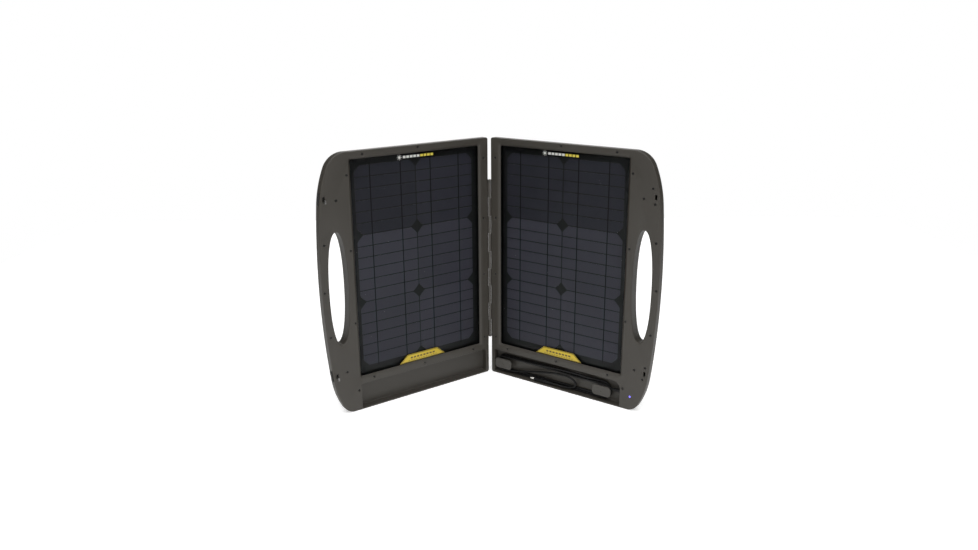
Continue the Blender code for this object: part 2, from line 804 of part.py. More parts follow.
def cord_lead_route():
    """From the gland's tip, over the turns at the outer cleat, to where the cord joins them."""
    depth = gland_depth
    tip = tray_right - gap - gland_length - gap
    return [(tip, depth, gland_height), (tip - 5, depth, gland_height), (tip - 12, depth, gland_height + 1.2),
            (tip - 20, depth, gland_height + 3.2), (tip - 34, depth, gland_height + 4.4),
            (tip - 56, depth, gland_height + 4.6), (tip - 76, depth, gland_height + 4.4)]


def cord_tail_route():
    """From the turns' end at the outer cleat, round the inner cleat, and back to the plug."""
    near = cleat_centres[0]
    depth = gland_depth
    loop = 14.4
    route = [(226, depth, 40.2), (200, depth, 41.6), (165, depth, 41.0), (130, depth, 39.4), (95, depth, 38.0),
             (60, depth, 37.2)]
    for angle in (90, 120, 150, 180, 210, 240, 270):
        turn = math.radians(angle)
        route.append((near + loop * math.cos(turn), depth, cleat_height + loop * math.sin(turn)))
    route += [(50, depth, 9.6), (75, depth, 14.2), (105, depth, 21.0), (135, depth, 27.0), (163, depth, 30.4),
              (184, depth, 30.0), (197, depth, 24.6), (201, depth - 0.2, 18.0), (197, depth - 0.6, 12.0),
              (186, depth - 1.2, 8.6), (172, depth - 1.8, 7.6), (160, plug_depth, plug_height),
              (plug_start + 54, plug_depth, plug_height)]
    return route


def cord_gland():
    start = tray_right - gap
    profile = [(5.0, 0.0), (5.0, -2.0), (3.9, -2.6), (2.7, -gland_length)]
    boot = turned("cord_gland", profile, (start, gland_depth, gland_height), "u", 12)
    return boot


def plug_body():
    centre = (plug_start, plug_depth, plug_height)
    profile = [(plug_radius - 0.5, 9.3), (plug_radius, 10.0), (plug_radius, 34.0), (3.2, 35.0), (3.0, 41.0),
               (cord_radius + 0.4, 53.4)]
    return turned("plug_body", profile, centre, "u", 12)


def plug_tip():
    centre = (plug_start, plug_depth, plug_height)
    return turned("plug_tip", [(2.3, 0.0), (2.75, 0.6), (2.75, 9.0)], centre, "u", 12)


# ---------------------------------------------------------------- assembly

def build_half(side, frame, looks):
    label = "left" if side < 0 else "right"

    def put(thing, name, look, smooth=False):
        thing.name = f"{label}_{name}"
        return place(thing, side, frame, looks[look], smooth)

    put(front_frame(side), "front_frame", "case")
    put(back_cover(side), "back_cover", "case", True)
    put(panel_gasket(), "panel_gasket", "rubber")
    put(prism("glass", laminate_outline(glass_overlap), glass_front, glass_front + glass_thickness),
        "panel_glass", "glass")
    put(prism("cells", laminate_outline(glass_overlap), cells_front, cells_front + cell_sheet_thickness),
        "cell_sheet", "cells")
    put(prism("backsheet", laminate_outline(glass_overlap), backsheet_front, laminate_back), "backsheet", "backsheet")
    box, lid = junction_box()
    put(box, "junction_box", "black")
    put(lid, "junction_lid", "black")
    put(panel_lead(), "panel_lead", "rubber")
    put(yellow_tab(), "yellow_tab", "yellow")
    for number, spot in enumerate(screw_places, 1):
        sunk = face + screw_sink
        profile = [(screw_head_radius, sunk), (screw_head_radius, sunk + screw_head_height),
                   (screw_shank_radius, sunk + screw_head_height), (screw_shank_radius, sunk + screw_length)]
        put(turned("screw", profile, (spot[0], 0.0, spot[1]), "w", 8), f"case_screw_{number}", "screw")
    put(hinge_leaf(side), "hinge_leaf", "hinge")
    for number, height in enumerate(hinge_screw_heights(), 1):
        put(hinge_screw(height), f"hinge_screw_{number}", "screw")
    put(leg_pin(), "leg_pin", "steel", True)
    axis = pivot(f"{label}_leg_axis", frame, side, (window_middle, leg_axis_depth(), leg_pivot_height))
    hang(put(leg(), "leg", "black", True), axis)
    hang(put(leg_foot(), "leg_foot", "rubber"), axis)


def build_latches(frame, looks):
    for label, height in latch_heights.items():
        slide = pivot(f"{label}_latch_slide", frame, -1, (hook_line(height), face_back, height))
        hang(place(latch_slider(height), -1, frame, looks["black"]), slide).name = f"{label}_latch_slider"
        hang(place(latch_hook(height), -1, frame, looks["steel"]), slide).name = f"{label}_latch_hook"
        place(latch_spring(height), -1, frame, looks["steel"]).name = f"{label}_latch_spring"


def build_cord(frame, looks):
    for label, centre in zip(("inner", "outer"), cleat_centres):
        place(cleat(centre), 1, frame, looks["cleat"]).name = f"{label}_cord_cleat"
    place(cord_gland(), 1, frame, looks["rubber"], True).name = "cord_gland"
    place(cord_hank(), 1, frame, looks["rubber"], True).name = "cord_hank"
    spacing = cord_radius * 5
    place(tube("cord_lead", smooth_route(cord_lead_route(), spacing), cord_radius), 1, frame, looks["rubber"])
    place(tube("cord_tail", smooth_route(cord_tail_route(), spacing), cord_radius), 1, frame, looks["rubber"])
    place(plug_body(), 1, frame, looks["rubber"], True).name = "plug_body"
    place(plug_tip(), 1, frame, looks["nickel"], True).name = "plug_tip"


def build_charger(frame, looks):
    centre_u, centre_z = board_place
    width, height, thickness = board_size
    front = parting - 3.0
    board = prism("charge_board", rounded_rectangle(centre_u - width / 2, centre_u + width / 2,
                                                    centre_z - height / 2, centre_z + height / 2, 1.5, 2),
                  front, front + thickness)
    place(board, 1, frame, looks["board"])
    lens = turned("charge_led", [(1.2, face + 0.3), (led_radius, face + 1.1), (led_radius, front - gap)],
                  (led_place[0], 0.0, led_place[1]), "w", 10)
    place(lens, 1, frame, looks["led"], True)


def stand_on_floor(halves, cord_names):
    """Shift both halves so that the origin is under the middle of the object, cord left out."""
    bpy.context.view_layer.update()
    graph = bpy.context.evaluated_depsgraph_get()
    low, high = Vector((1e9, 1e9)), Vector((-1e9, -1e9))
    for thing in bpy.context.scene.objects:
        if thing.type == "EMPTY" or thing.name in cord_names:
            continue
        mesh = thing.evaluated_get(graph).to_mesh()
        for vertex in mesh.vertices:
            spot = thing.matrix_world @ vertex.co
            low = Vector((min(low.x, spot.x), min(low.y, spot.y)))
            high = Vector((max(high.x, spot.x), max(high.y, spot.y)))
    middle = (low + high) / 2
    for frame in halves:
        frame.location = (0.0, -middle.y, 0.0)


def main():
    for thing in list(bpy.data.objects):
        bpy.data.objects.remove(thing)
    looks = {
        "case": finish("case_plastic", (0.066, 0.058, 0.050), 0.55),
        "black": finish("black_plastic", (0.02, 0.02, 0.02), 0.5),
        "cleat": finish("cleat_plastic", (0.075, 0.07, 0.062), 0.6),
        "rubber": finish("black_rubber", (0.015, 0.015, 0.015), 0.75),
        "glass": finish("glass", (0.8, 0.85, 0.9), 0.05, 0.0, 0.3),
        "cells": finish("cells", (0.02, 0.022, 0.035), 0.3),
        "backsheet": finish("backsheet", (0.02, 0.02, 0.02), 0.6),
        "yellow": finish("yellow_label", (0.72, 0.52, 0.03), 0.5),
        "screw": finish("dark_screw", (0.03, 0.03, 0.03), 0.4, 1.0),
        "hinge": finish("painted_hinge", (0.09, 0.085, 0.075), 0.45, 0.6),
        "steel": finish("steel", (0.6, 0.6, 0.6), 0.3, 1.0),
        "nickel": finish("nickel", (0.75, 0.74, 0.7), 0.2, 1.0),
        "board": finish("circuit_board", (0.02, 0.12, 0.05), 0.5),
        "led": finish("led_lens", (0.25, 0.2, 0.9), 0.2),
    }
    left, right = half_frame(-1), half_frame(1)
    build_half(-1, left, looks)
    build_half(1, right, looks)
    pin = turned("hinge_pin", [(pin_radius, hinge_bottom - 1.5), (pin_radius, hinge_top + 1.5)],
                 (0.0, 0.0, 0.0), "z", 12)
    place(pin, 1, left, looks["steel"], True)
    build_latches(left, looks)
    for label, height in latch_heights.items():
        place(keeper(height), 1, right, looks["steel"]).name = f"{label}_keeper"
    build_charger(right, looks)
    build_cord(right, looks)
    stand_on_floor((left, right), ("cord_gland", "cord_hank", "cord_lead", "cord_tail", "plug_body", "plug_tip"))


main()
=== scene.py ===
import math

import bmesh
import bpy
from mathutils import Matrix, Vector


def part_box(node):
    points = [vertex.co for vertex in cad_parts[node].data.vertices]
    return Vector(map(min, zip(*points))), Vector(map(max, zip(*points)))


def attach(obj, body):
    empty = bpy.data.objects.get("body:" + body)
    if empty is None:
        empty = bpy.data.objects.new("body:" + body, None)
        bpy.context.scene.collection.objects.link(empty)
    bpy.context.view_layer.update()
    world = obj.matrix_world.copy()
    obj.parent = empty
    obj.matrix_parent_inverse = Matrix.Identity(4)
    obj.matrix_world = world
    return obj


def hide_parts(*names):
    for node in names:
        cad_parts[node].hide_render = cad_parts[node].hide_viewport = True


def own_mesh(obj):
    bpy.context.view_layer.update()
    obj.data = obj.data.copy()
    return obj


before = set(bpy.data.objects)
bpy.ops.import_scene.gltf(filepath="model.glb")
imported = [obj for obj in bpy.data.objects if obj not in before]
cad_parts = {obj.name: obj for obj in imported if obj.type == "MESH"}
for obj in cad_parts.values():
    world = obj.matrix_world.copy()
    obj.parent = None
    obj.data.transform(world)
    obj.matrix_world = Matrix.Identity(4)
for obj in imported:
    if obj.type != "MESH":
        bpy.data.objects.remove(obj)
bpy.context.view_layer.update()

# Every piece of a half is drawn in that half's own millimetres: u out from the hinge axis along the face,
# w back from the closing plane, z up. settle() turns it into place, mirrored for the left half.
halfCase = {
    "height": 488.7, "width": 367.0, "halfAngle": 53.9, "hingeGap": 3.0, "hingeCorner": 4.0,
    "face": 0.4, "faceBack": 3.4, "parting": 11.0, "coverFront": 11.3, "back": 22.3, "wall": 2.5,
    "edge": 1.5, "seam": 0.35, "coverRound": 9.0, "edgeStart": 314.3,
    "edgeArcs": ((26.0, 62.35, 14), (163.4, 20.52, 10), (1585.0, 11.88, 18), (215.8, 18.12, 12),
                 (41.2, 67.13, 16)),
}
hingeY = (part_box("hinge_pin")[0].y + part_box("hinge_pin")[1].y) / 2
labels = {-1: "left", 1: "right"}


# Outlines in the u, z plane

def arcPoints(centreU, centreZ, radius, start, stop, steps):
    points = []
    for step in range(steps + 1):
        angle = math.radians(start + (stop - start) * step / steps)
        points.append((centreU + radius * math.cos(angle), centreZ + radius * math.sin(angle)))
    return points


def edgePoints():
    points = [(halfCase["edgeStart"], 0.0)]
    heading = 0.0
    for radius, sweep, steps in halfCase["edgeArcs"]:
        u, z = points[-1]
        centreU, centreZ = u - radius * math.sin(heading), z + radius * math.cos(heading)
        for step in range(1, steps + 1):
            angle = heading + math.radians(sweep) * step / steps
            points.append((centreU + radius * math.sin(angle), centreZ - radius * math.cos(angle)))
        heading += math.radians(sweep)
    widest, tallest = max(u for u, z in points), points[-1][1]
    return [(u * halfCase["width"] / widest, z * halfCase["height"] / tallest) for u, z in points]


outerEdge = edgePoints()


def edgeAt(height):
    for low, high in zip(outerEdge, outerEdge[1:]):
        if low[1] <= height <= high[1]:
            return low[0] + (high[0] - low[0]) * (height - low[1]) / (high[1] - low[1])
    return outerEdge[0][0]


def caseOutline(inset):
    drawn = []
    for index, (u, z) in enumerate(outerEdge):
        before, after = outerEdge[max(index - 1, 0)], outerEdge[min(index + 1, len(outerEdge) - 1)]
        if index == 0:
            along = Vector((1.0, 0.0))
        elif index == len(outerEdge) - 1:
            along = Vector((-1.0, 0.0))
        else:
            along = Vector((after[0] - before[0], after[1] - before[1])).normalized()
        drawn.append((u - along.y * inset, z + along.x * inset))
    radius = max(halfCase["hingeCorner"] - inset, 0.8)
    side = halfCase["hingeGap"] + inset + radius
    drawn += arcPoints(side, halfCase["height"] - inset - radius, radius, 90, 180, 8)
    drawn += arcPoints(side, inset + radius, radius, 180, 270, 8)
    return drawn


def roundedBox(lowU, highU, lowZ, highZ, radius, steps=6, topOuter=None):
    special = radius if topOuter is None else topOuter
    points = arcPoints(highU - radius, lowZ + radius, radius, 270, 360, steps)
    points += arcPoints(highU - special, highZ - special, special, 0, 90, steps * 2)
    points += arcPoints(lowU + radius, highZ - radius, radius, 90, 180, steps)
    points += arcPoints(lowU + radius, lowZ + radius, radius, 180, 270, steps)
    return points


def offsetOutline(points, amount):  # grows a smooth anticlockwise outline; a negative amount draws it in
    grown = []
    for index, (u, z) in enumerate(points):
        before, after = Vector(points[index - 1]), Vector(points[(index + 1) % len(points)])
        here = Vector((u, z))
        first, second = (here - before), (after - here)
        first = first.normalized() if first.length > 1e-6 else second.normalized()
        second = second.normalized() if second.length > 1e-6 else first
        out = Vector((first.y + second.y, -first.x - second.x))
        out.normalize()
        share = max(out.dot(Vector((first.y, -first.x))), 0.4)
        grown.append((u + out.x * amount / share, z + out.y * amount / share))
    return grown


def roundPolygon(corners, radius, steps=5):
    points = []
    for index, corner in enumerate(corners):
        here = Vector(corner)
        before = (Vector(corners[index - 1]) - here).normalized()
        after = (Vector(corners[(index + 1) % len(corners)]) - here).normalized()
        half = before.angle(after) / 2
        reach = radius / math.tan(half)
        centre = here + (before + after).normalized() * radius / math.sin(half)
        start, stop = here + before * reach - centre, here + after * reach - centre
        turn = start.angle_signed(stop)
        for step in range(steps + 1):
            spin = Matrix.Rotation(-turn * step / steps, 2)
            points.append(tuple(centre + spin @ start))
    return points


# Solids in a half's own frame

def looseMesh(name, points, faces):
    mesh = bpy.data.meshes.new(name)
    mesh.from_pydata([Vector(point) for point in points], [], faces)
    work = bmesh.new()
    work.from_mesh(mesh)
    bmesh.ops.recalc_face_normals(work, faces=work.faces)
    work.to_mesh(mesh)
    work.free()
    thing = bpy.data.objects.new(name, mesh)
    bpy.context.collection.objects.link(thing)
    return thing


def loft(name, rings, closed=False):
    count = len(rings[0])
    points = [point for ring in rings for point in ring]
    faces = [] if closed else [tuple(range(count)), tuple(range(len(points) - count, len(points)))]
    for level in range(len(rings) if closed else len(rings) - 1):
        base, over = level * count, ((level + 1) % len(rings)) * count
        for index in range(count):
            beside = (index + 1) % count
            faces.append((base + index, base + beside, over + beside, over + index))
    return looseMesh(name, points, faces)


def prism(name, outline, near, far):
    return loft(name, [[(u, w, z) for u, z in outline] for w in (near, far)])


def layered(name, outline, levels, closed=False):  # levels list how far the outline grows, and its depth
    return loft(name, [[(u, w, z) for u, z in offsetOutline(outline, grow)] for grow, w in levels], closed)


def profiled(name, outline, levels, closed=False):  # as layered(), with an outline that is a function of grow
    return loft(name, [[(u, w, z) for u, z in outline(grow)] for grow, w in levels], closed)


def quarterTurn(steps):
    angles = [math.radians(90 * step / steps) for step in range(steps + 1)]
    return [(math.cos(angle), math.sin(angle)) for angle in angles]


def softPrism(name, outline, near, far, edge, steps=4):
    levels = [(-edge * (1 - sine), near + edge * (1 - cosine)) for cosine, sine in quarterTurn(steps)]
    levels += [(grow, far - (w - near)) for grow, w in reversed(levels)]
    return layered(name, outline, levels)


def block(name, low, high):
    outline = [(low[0], low[2]), (high[0], low[2]), (high[0], high[2]), (low[0], high[2])]
    return prism(name, outline, low[1], high[1])


def softBlock(name, low, high, edge, segments=3):
    thing = block(name, low, high)
    work = bmesh.new()
    work.from_mesh(thing.data)
    bmesh.ops.bevel(work, geom=work.edges[:], offset=edge, segments=segments, profile=0.5, affect="EDGES")
    work.to_mesh(thing.data)
    work.free()
    return thing


def lathe(name, profile, centre, axis, steps=32, closed=False):  # profile lists radius and way along the axis
    rings = []
    for radius, along in profile:
        ring = []
        for step in range(steps):
            angle = 2 * math.pi * (step + 0.5) / steps
            across, over = radius * math.cos(angle), radius * math.sin(angle)
            offset = {"u": (along, across, over), "w": (across, along, over),
                      "z": (across, over, along)}[axis]
            ring.append(tuple(base + move for base, move in zip(centre, offset)))
        rings.append(ring)
    return loft(name, rings, closed)


def joined(things, name):
    work = bmesh.new()
    for thing in things:
        work.from_mesh(thing.data)
    mesh = bpy.data.meshes.new(name)
    work.to_mesh(mesh)
    work.free()
    for thing in things:
        bpy.data.objects.remove(thing)
    whole = bpy.data.objects.new(name, mesh)
    bpy.context.collection.objects.link(whole)
    return whole


def evaluatedMesh(thing):
    bpy.context.view_layer.update()
    return bpy.data.meshes.new_from_object(thing.evaluated_get(bpy.context.evaluated_depsgraph_get()))


def shaped(base, tools, operation="DIFFERENCE"):
    for tool in tools:
        modifier = base.modifiers.new("shape", "BOOLEAN")
        modifier.operation = operation
        modifier.solver = "EXACT"
        modifier.object = tool
        mesh = evaluatedMesh(base)
        base.modifiers.clear()
        base.data = mesh
        bpy.data.objects.remove(tool)
    return base


def cleaned(thing, distance=0.004):
    work = bmesh.new()
    work.from_mesh(thing.data)
    bmesh.ops.remove_doubles(work, verts=work.verts, dist=distance)
    bmesh.ops.dissolve_degenerate(work, dist=distance, edges=work.edges)
    work.to_mesh(thing.data)
    work.free()
    return thing


def halfMatrix(side):
    angle = math.radians(halfCase["halfAngle"])
    sine, cosine = math.sin(angle), math.cos(angle)
    return Matrix(((side * sine * 0.001, side * cosine * 0.001, 0, 0),
                   (-cosine * 0.001, sine * 0.001, 0, hingeY),
                   (0, 0, 0.001, 0), (0, 0, 0, 1)))


def settle(thing, name, side, finish, stands=(), body=None, smooth=32):
    if thing.type == "MESH" and smooth:
        thing.data.shade_smooth()
        thing.data.set_sharp_from_angle(angle=math.radians(smooth))
    thing.data.transform(halfMatrix(side))
    if side < 0 and thing.type == "MESH":
        thing.data.flip_normals()
    thing.data.update()
    thing.name = name
    thing.data.name = name
    thing.data.materials.clear()
    thing.data.materials.append(paint[finish])
    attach(thing, body or labels[side] + "_half")
    if stands:
        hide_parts(*stands)
    return thing


# Node helpers: an input is a fixed value or another node's socket

def addNode(tree, kind, inputs=None, **settings):
    made = tree.nodes.new(kind)
    for name, value in settings.items():
        setattr(made, name, value)
    for key, value in (inputs or {}).items():
        if isinstance(value, bpy.types.NodeSocket):
            tree.links.new(value, made.inputs[key])
        else:
            made.inputs[key].default_value = value
    return made


def mathNode(tree, operation, *values, clamp=False):
    return addNode(tree, "ShaderNodeMath", dict(enumerate(values)), operation=operation,
                   use_clamp=clamp).outputs[0]


def mixColour(tree, factor, first, second):
    ends = [(*value, 1.0) if isinstance(value, tuple) else value for value in (first, second)]
    return addNode(tree, "ShaderNodeMix", {0: factor, 6: ends[0], 7: ends[1]}, data_type="RGBA").outputs[2]


def namedSockets(tree, way, sockets):
    for label, kind, *value in sockets:
        socket = tree.interface.new_socket(label, in_out=way, socket_type="NodeSocket" + kind)
        if value:
            socket.default_value = value[0]


# Geometry Nodes trees for what repeats

def startTree(name, inputs):
    tree = bpy.data.node_groups.new(name, "GeometryNodeTree")
    namedSockets(tree, "INPUT", (("Geometry", "Geometry"), ("Copy", "Object"), *inputs,
                                 ("Material", "Material")))
    namedSockets(tree, "OUTPUT", (("Geometry", "Geometry"),))
    given = tree.nodes.new("NodeGroupInput").outputs
    shape = addNode(tree, "GeometryNodeObjectInfo", {"Object": given["Copy"], "As Instance": True})
    return tree, given, shape.outputs["Geometry"]


def finishTree(tree, given, copies):
    real = addNode(tree, "GeometryNodeRealizeInstances", {"Geometry": copies})
    painted = addNode(tree, "GeometryNodeSetMaterial",
                      {"Geometry": real.outputs[0], "Material": given["Material"]})
    addNode(tree, "NodeGroupOutput", {"Geometry": painted.outputs[0]})
    return tree


def copiesOn(tree, points, shape, **more):
    return addNode(tree, "GeometryNodeInstanceOnPoints",
                   {"Points": points, "Instance": shape, **more}).outputs[0]


def rowTree():
    tree, given, shape = startTree("rowOfCopies", (("Count", "Int", 2), ("First", "Vector", (0.0, 0.0, 0.0)),
                                                   ("Step", "Vector", (0.0, 0.0, 1.0))))
    line = addNode(tree, "GeometryNodeMeshLine", {"Count": given["Count"], "Start Location": given["First"],
                                                  "Offset": given["Step"]}, mode="OFFSET")
    return finishTree(tree, given, copiesOn(tree, line.outputs[0], shape))


def spotTree():  # copies on a mesh's points, each turned by chance about the depth axis
    tree, given, shape = startTree("copiesOnSpots", (("Turn", "Float", 6.283), ("Seed", "Int", 7)))
    chance = addNode(tree, "FunctionNodeRandomValue", {3: given["Turn"], "Seed": given["Seed"]},
                     data_type="FLOAT")
    turn = addNode(tree, "ShaderNodeCombineXYZ", {"Y": chance.outputs[1]})
    return finishTree(tree, given, copiesOn(tree, given["Geometry"], shape, Rotation=turn.outputs[0]))


def cellTree():  # a field of cells, each with a random tone of its own, the lower rows lighter with a painted reflection of the pale floor and the top row left darker
    tree, given, shape = startTree("cellField",
                                   (("Columns", "Int", 2), ("Rows", "Int", 3), ("Pitch", "Float", 127.0),
                                    ("Middle", "Vector", (0.0, 0.0, 0.0)), ("Seed", "Int", 3),
                                    ("Top Row", "Float", 60.0), ("Chance", "Float", 0.3)))
    grid = addNode(tree, "GeometryNodeMeshGrid",
                   {"Vertices X": given["Columns"], "Vertices Y": given["Rows"]})
    for count, side in (("Columns", "X"), ("Rows", "Y")):
        size = mathNode(tree, "MULTIPLY", mathNode(tree, "SUBTRACT", given[count], 1.0), given["Pitch"])
        tree.links.new(size, grid.inputs["Size " + side])
    upright = addNode(tree, "GeometryNodeTransform",
                      {"Geometry": grid.outputs[0], "Translation": given["Middle"],
                       "Rotation": (math.radians(90), 0.0, 0.0)})
    chance = addNode(tree, "FunctionNodeRandomValue", {3: given["Chance"], "Seed": given["Seed"]},
                     data_type="FLOAT")
    place = addNode(tree, "GeometryNodeInputPosition").outputs[0]
    height = [addNode(tree, "ShaderNodeSeparateXYZ", {0: spot}).outputs["Z"]
              for spot in (place, given["Middle"])]
    lower = mathNode(tree, "LESS_THAN", mathNode(tree, "SUBTRACT", *height), given["Top Row"])
    toneAndReflection = mathNode(tree, "MULTIPLY_ADD", lower, mathNode(tree, "SUBTRACT", 1.0, given["Chance"]),
                    chance.outputs[1])
    kept = addNode(tree, "GeometryNodeStoreNamedAttribute", {
        "Geometry": copiesOn(tree, upright.outputs[0], shape), "Name": "cellTone", "Value": toneAndReflection},
        data_type="FLOAT", domain="INSTANCE")
    return finishTree(tree, given, kept.outputs[0])


def grown(tree, values, points=((0.0, 0.0, 0.0),)):
    mesh = bpy.data.meshes.new("carrier")
    mesh.from_pydata([Vector(point) for point in points], [], [])
    host = bpy.data.objects.new("host", mesh)
    bpy.context.collection.objects.link(host)
    modifier = host.modifiers.new("build", "NODES")
    modifier.node_group = tree
    for socket in tree.interface.items_tree:
        if socket.item_type == "SOCKET" and socket.in_out == "INPUT" and socket.name in values:
            modifier[socket.identifier] = values[socket.name]
    made = evaluatedMesh(host)
    host.modifiers.clear()
    host.data = made
    bpy.data.objects.remove(values["Copy"])
    return host


copiesInRow, copiesOnSpots, cellField = rowTree(), spotTree(), cellTree()


def inRow(thing, count, first, step, finish):
    return grown(copiesInRow, {"Copy": thing, "Count": count, "First": tuple(first), "Step": tuple(step),
                               "Material": paint[finish]})


print("repeating trees built")


# Shader node groups that several finishes share

def startGroup(name, inputs, outputs):
    group = bpy.data.node_groups.new(name, "ShaderNodeTree")
    namedSockets(group, "INPUT", (("Vector", "Vector"), *inputs))
    namedSockets(group, "OUTPUT", outputs)
    return group, group.nodes.new("NodeGroupInput").outputs


def noiseNode(tree, vector, scale, detail, roughness):
    return addNode(tree, "ShaderNodeTexNoise", {"Vector": vector, "Scale": scale, "Detail": detail,
                                                "Roughness": roughness}).outputs["Fac"]


def grainGroup():  # the fine pitted skin of a moulding, with slow drifts of tone
    group, given = startGroup("mouldedGrain",
                              (("Grain Scale", "Float", 1500.0), ("Drift Scale", "Float", 14.0)),
                              (("Grain", "Float"), ("Drift", "Float")))
    fine = noiseNode(group, given["Vector"], given["Grain Scale"], 2.0, 0.6)
    slow = noiseNode(group, given["Vector"], given["Drift Scale"], 4.0, 0.55)
    addNode(group, "NodeGroupOutput", {"Grain": fine, "Drift": slow})
    return group


def wearAndHighlightGroup():  # paler edges, partly rubbed wear and partly a painted highlight along lit rims, broken up by noise
    group, given = startGroup("edgeWearAndHighlight", (("Radius", "Float", 0.0008), ("Strength", "Float", 3.0)),
                              (("Mask", "Float"), ("Soft Normal", "Vector")))
    soft = addNode(group, "ShaderNodeBevel", {"Radius": given["Radius"]}, samples=6).outputs["Normal"]
    surface = addNode(group, "ShaderNodeNewGeometry").outputs["Normal"]
    same = addNode(group, "ShaderNodeVectorMath", {0: soft, 1: surface},
                   operation="DOT_PRODUCT").outputs["Value"]
    turned = mathNode(group, "SUBTRACT", 1.0, same, clamp=True)
    broken = mathNode(group, "MULTIPLY_ADD", noiseNode(group, given["Vector"], 180.0, 3.0, 0.6), 1.6, -0.25)
    strong = mathNode(group, "MULTIPLY", turned, given["Strength"])
    addNode(group, "NodeGroupOutput", {"Mask": mathNode(group, "MULTIPLY", strong, broken, clamp=True),
                                       "Soft Normal": soft})
    return group


def dustGroup():  # a thin film on what faces up
    group, given = startGroup("dustFilm", (("Amount", "Float", 0.3),), (("Mask", "Float"),))
    surface = addNode(group, "ShaderNodeNewGeometry").outputs["Normal"]
    upward = addNode(group, "ShaderNodeSeparateXYZ", {0: surface}).outputs["Z"]
    facing = mathNode(group, "MAXIMUM", mathNode(group, "MULTIPLY_ADD", upward, 0.85, 0.12), 0.0)
    film = mathNode(group, "MULTIPLY", facing, noiseNode(group, given["Vector"], 45.0, 5.0, 0.65))
    mask = mathNode(group, "MULTIPLY", film, given["Amount"], clamp=True)
    addNode(group, "NodeGroupOutput", {"Mask": mask})
    return group


grain, wearAndHighlight, dust = grainGroup(), wearAndHighlightGroup(), dustGroup()


def placed(tree, group, place, values):
    return addNode(tree, "ShaderNodeGroup", {**values, "Vector": place}, node_tree=group).outputs


def startFinish(name, grainScale, driftScale, place=None):
    material = bpy.data.materials.new(name)
    material.use_nodes = True
    tree = material.node_tree
    if place is None:
        place = addNode(tree, "ShaderNodeTexCoord").outputs["Object"]
    else:
        place = addNode(tree, "ShaderNodeUVMap", uv_map=place).outputs["UV"]
    texture = placed(tree, grain, place, {"Grain Scale": grainScale, "Drift Scale": driftScale})
    return material, tree, tree.nodes["Principled BSDF"].inputs, texture, place


def pitted(tree, shader, texture, strength, depth, **normal):
    bump = addNode(tree, "ShaderNodeBump",
                   {"Strength": strength, "Distance": depth, "Height": texture["Grain"], **normal})
    tree.links.new(bump.outputs["Normal"], shader["Normal"])


plainLook = {"grainScale": 1500.0, "driftScale": 14.0, "drift": 0.12, "metallic": 0.0, "specular": 0.5,
             "coat": 0.0, "bump": 0.25, "bumpDepth": 0.0001, "roughSpread": 0.16, "wearAndHighlight": 0.0,
             "edge": 0.0006, "dust": 0.0, "dustColour": (0.42, 0.40, 0.37)}


def finishOf(name, own):
    look = {**plainLook, **own}
    material, tree, shader, texture, place = startFinish(name, look["grainScale"], look["driftScale"])
    colour, normal = look["colour"], {}
    low, high = (tuple(min(part * (1 + change), 1.0) for part in colour)
                 for change in (-look["drift"], look["drift"]))
    shown = mixColour(tree, texture["Drift"], low, high)
    # the paler edge tone is partly wear and partly a painted highlight on lit rims and lips
    if look["wearAndHighlight"]:
        rubbedAndLit = placed(tree, wearAndHighlight, place, {"Radius": look["edge"], "Strength": look["wearAndHighlight"]})
        pale = look.get("wearAndHighlightColour", tuple(min(part * 1.9, 1.0) for part in colour))
        shown = mixColour(tree, rubbedAndLit["Mask"], shown, pale)
        normal = {"Normal": rubbedAndLit["Soft Normal"]}
    if look["dust"]:
        film = placed(tree, dust, place, {"Amount": look["dust"]})
        shown = mixColour(tree, film["Mask"], shown, look["dustColour"])
    tree.links.new(shown, shader["Base Color"])
    rough = mathNode(tree, "MULTIPLY_ADD", texture["Grain"], look["roughSpread"],
                     look["roughness"] - look["roughSpread"] / 2)
    tree.links.new(rough, shader["Roughness"])
    for label, value in (("Metallic", "metallic"), ("Specular IOR Level", "specular"),
                         ("Coat Weight", "coat")):
        shader[label].default_value = look[value]
    pitted(tree, shader, texture, look["bump"], look["bumpDepth"], **normal)
    return material


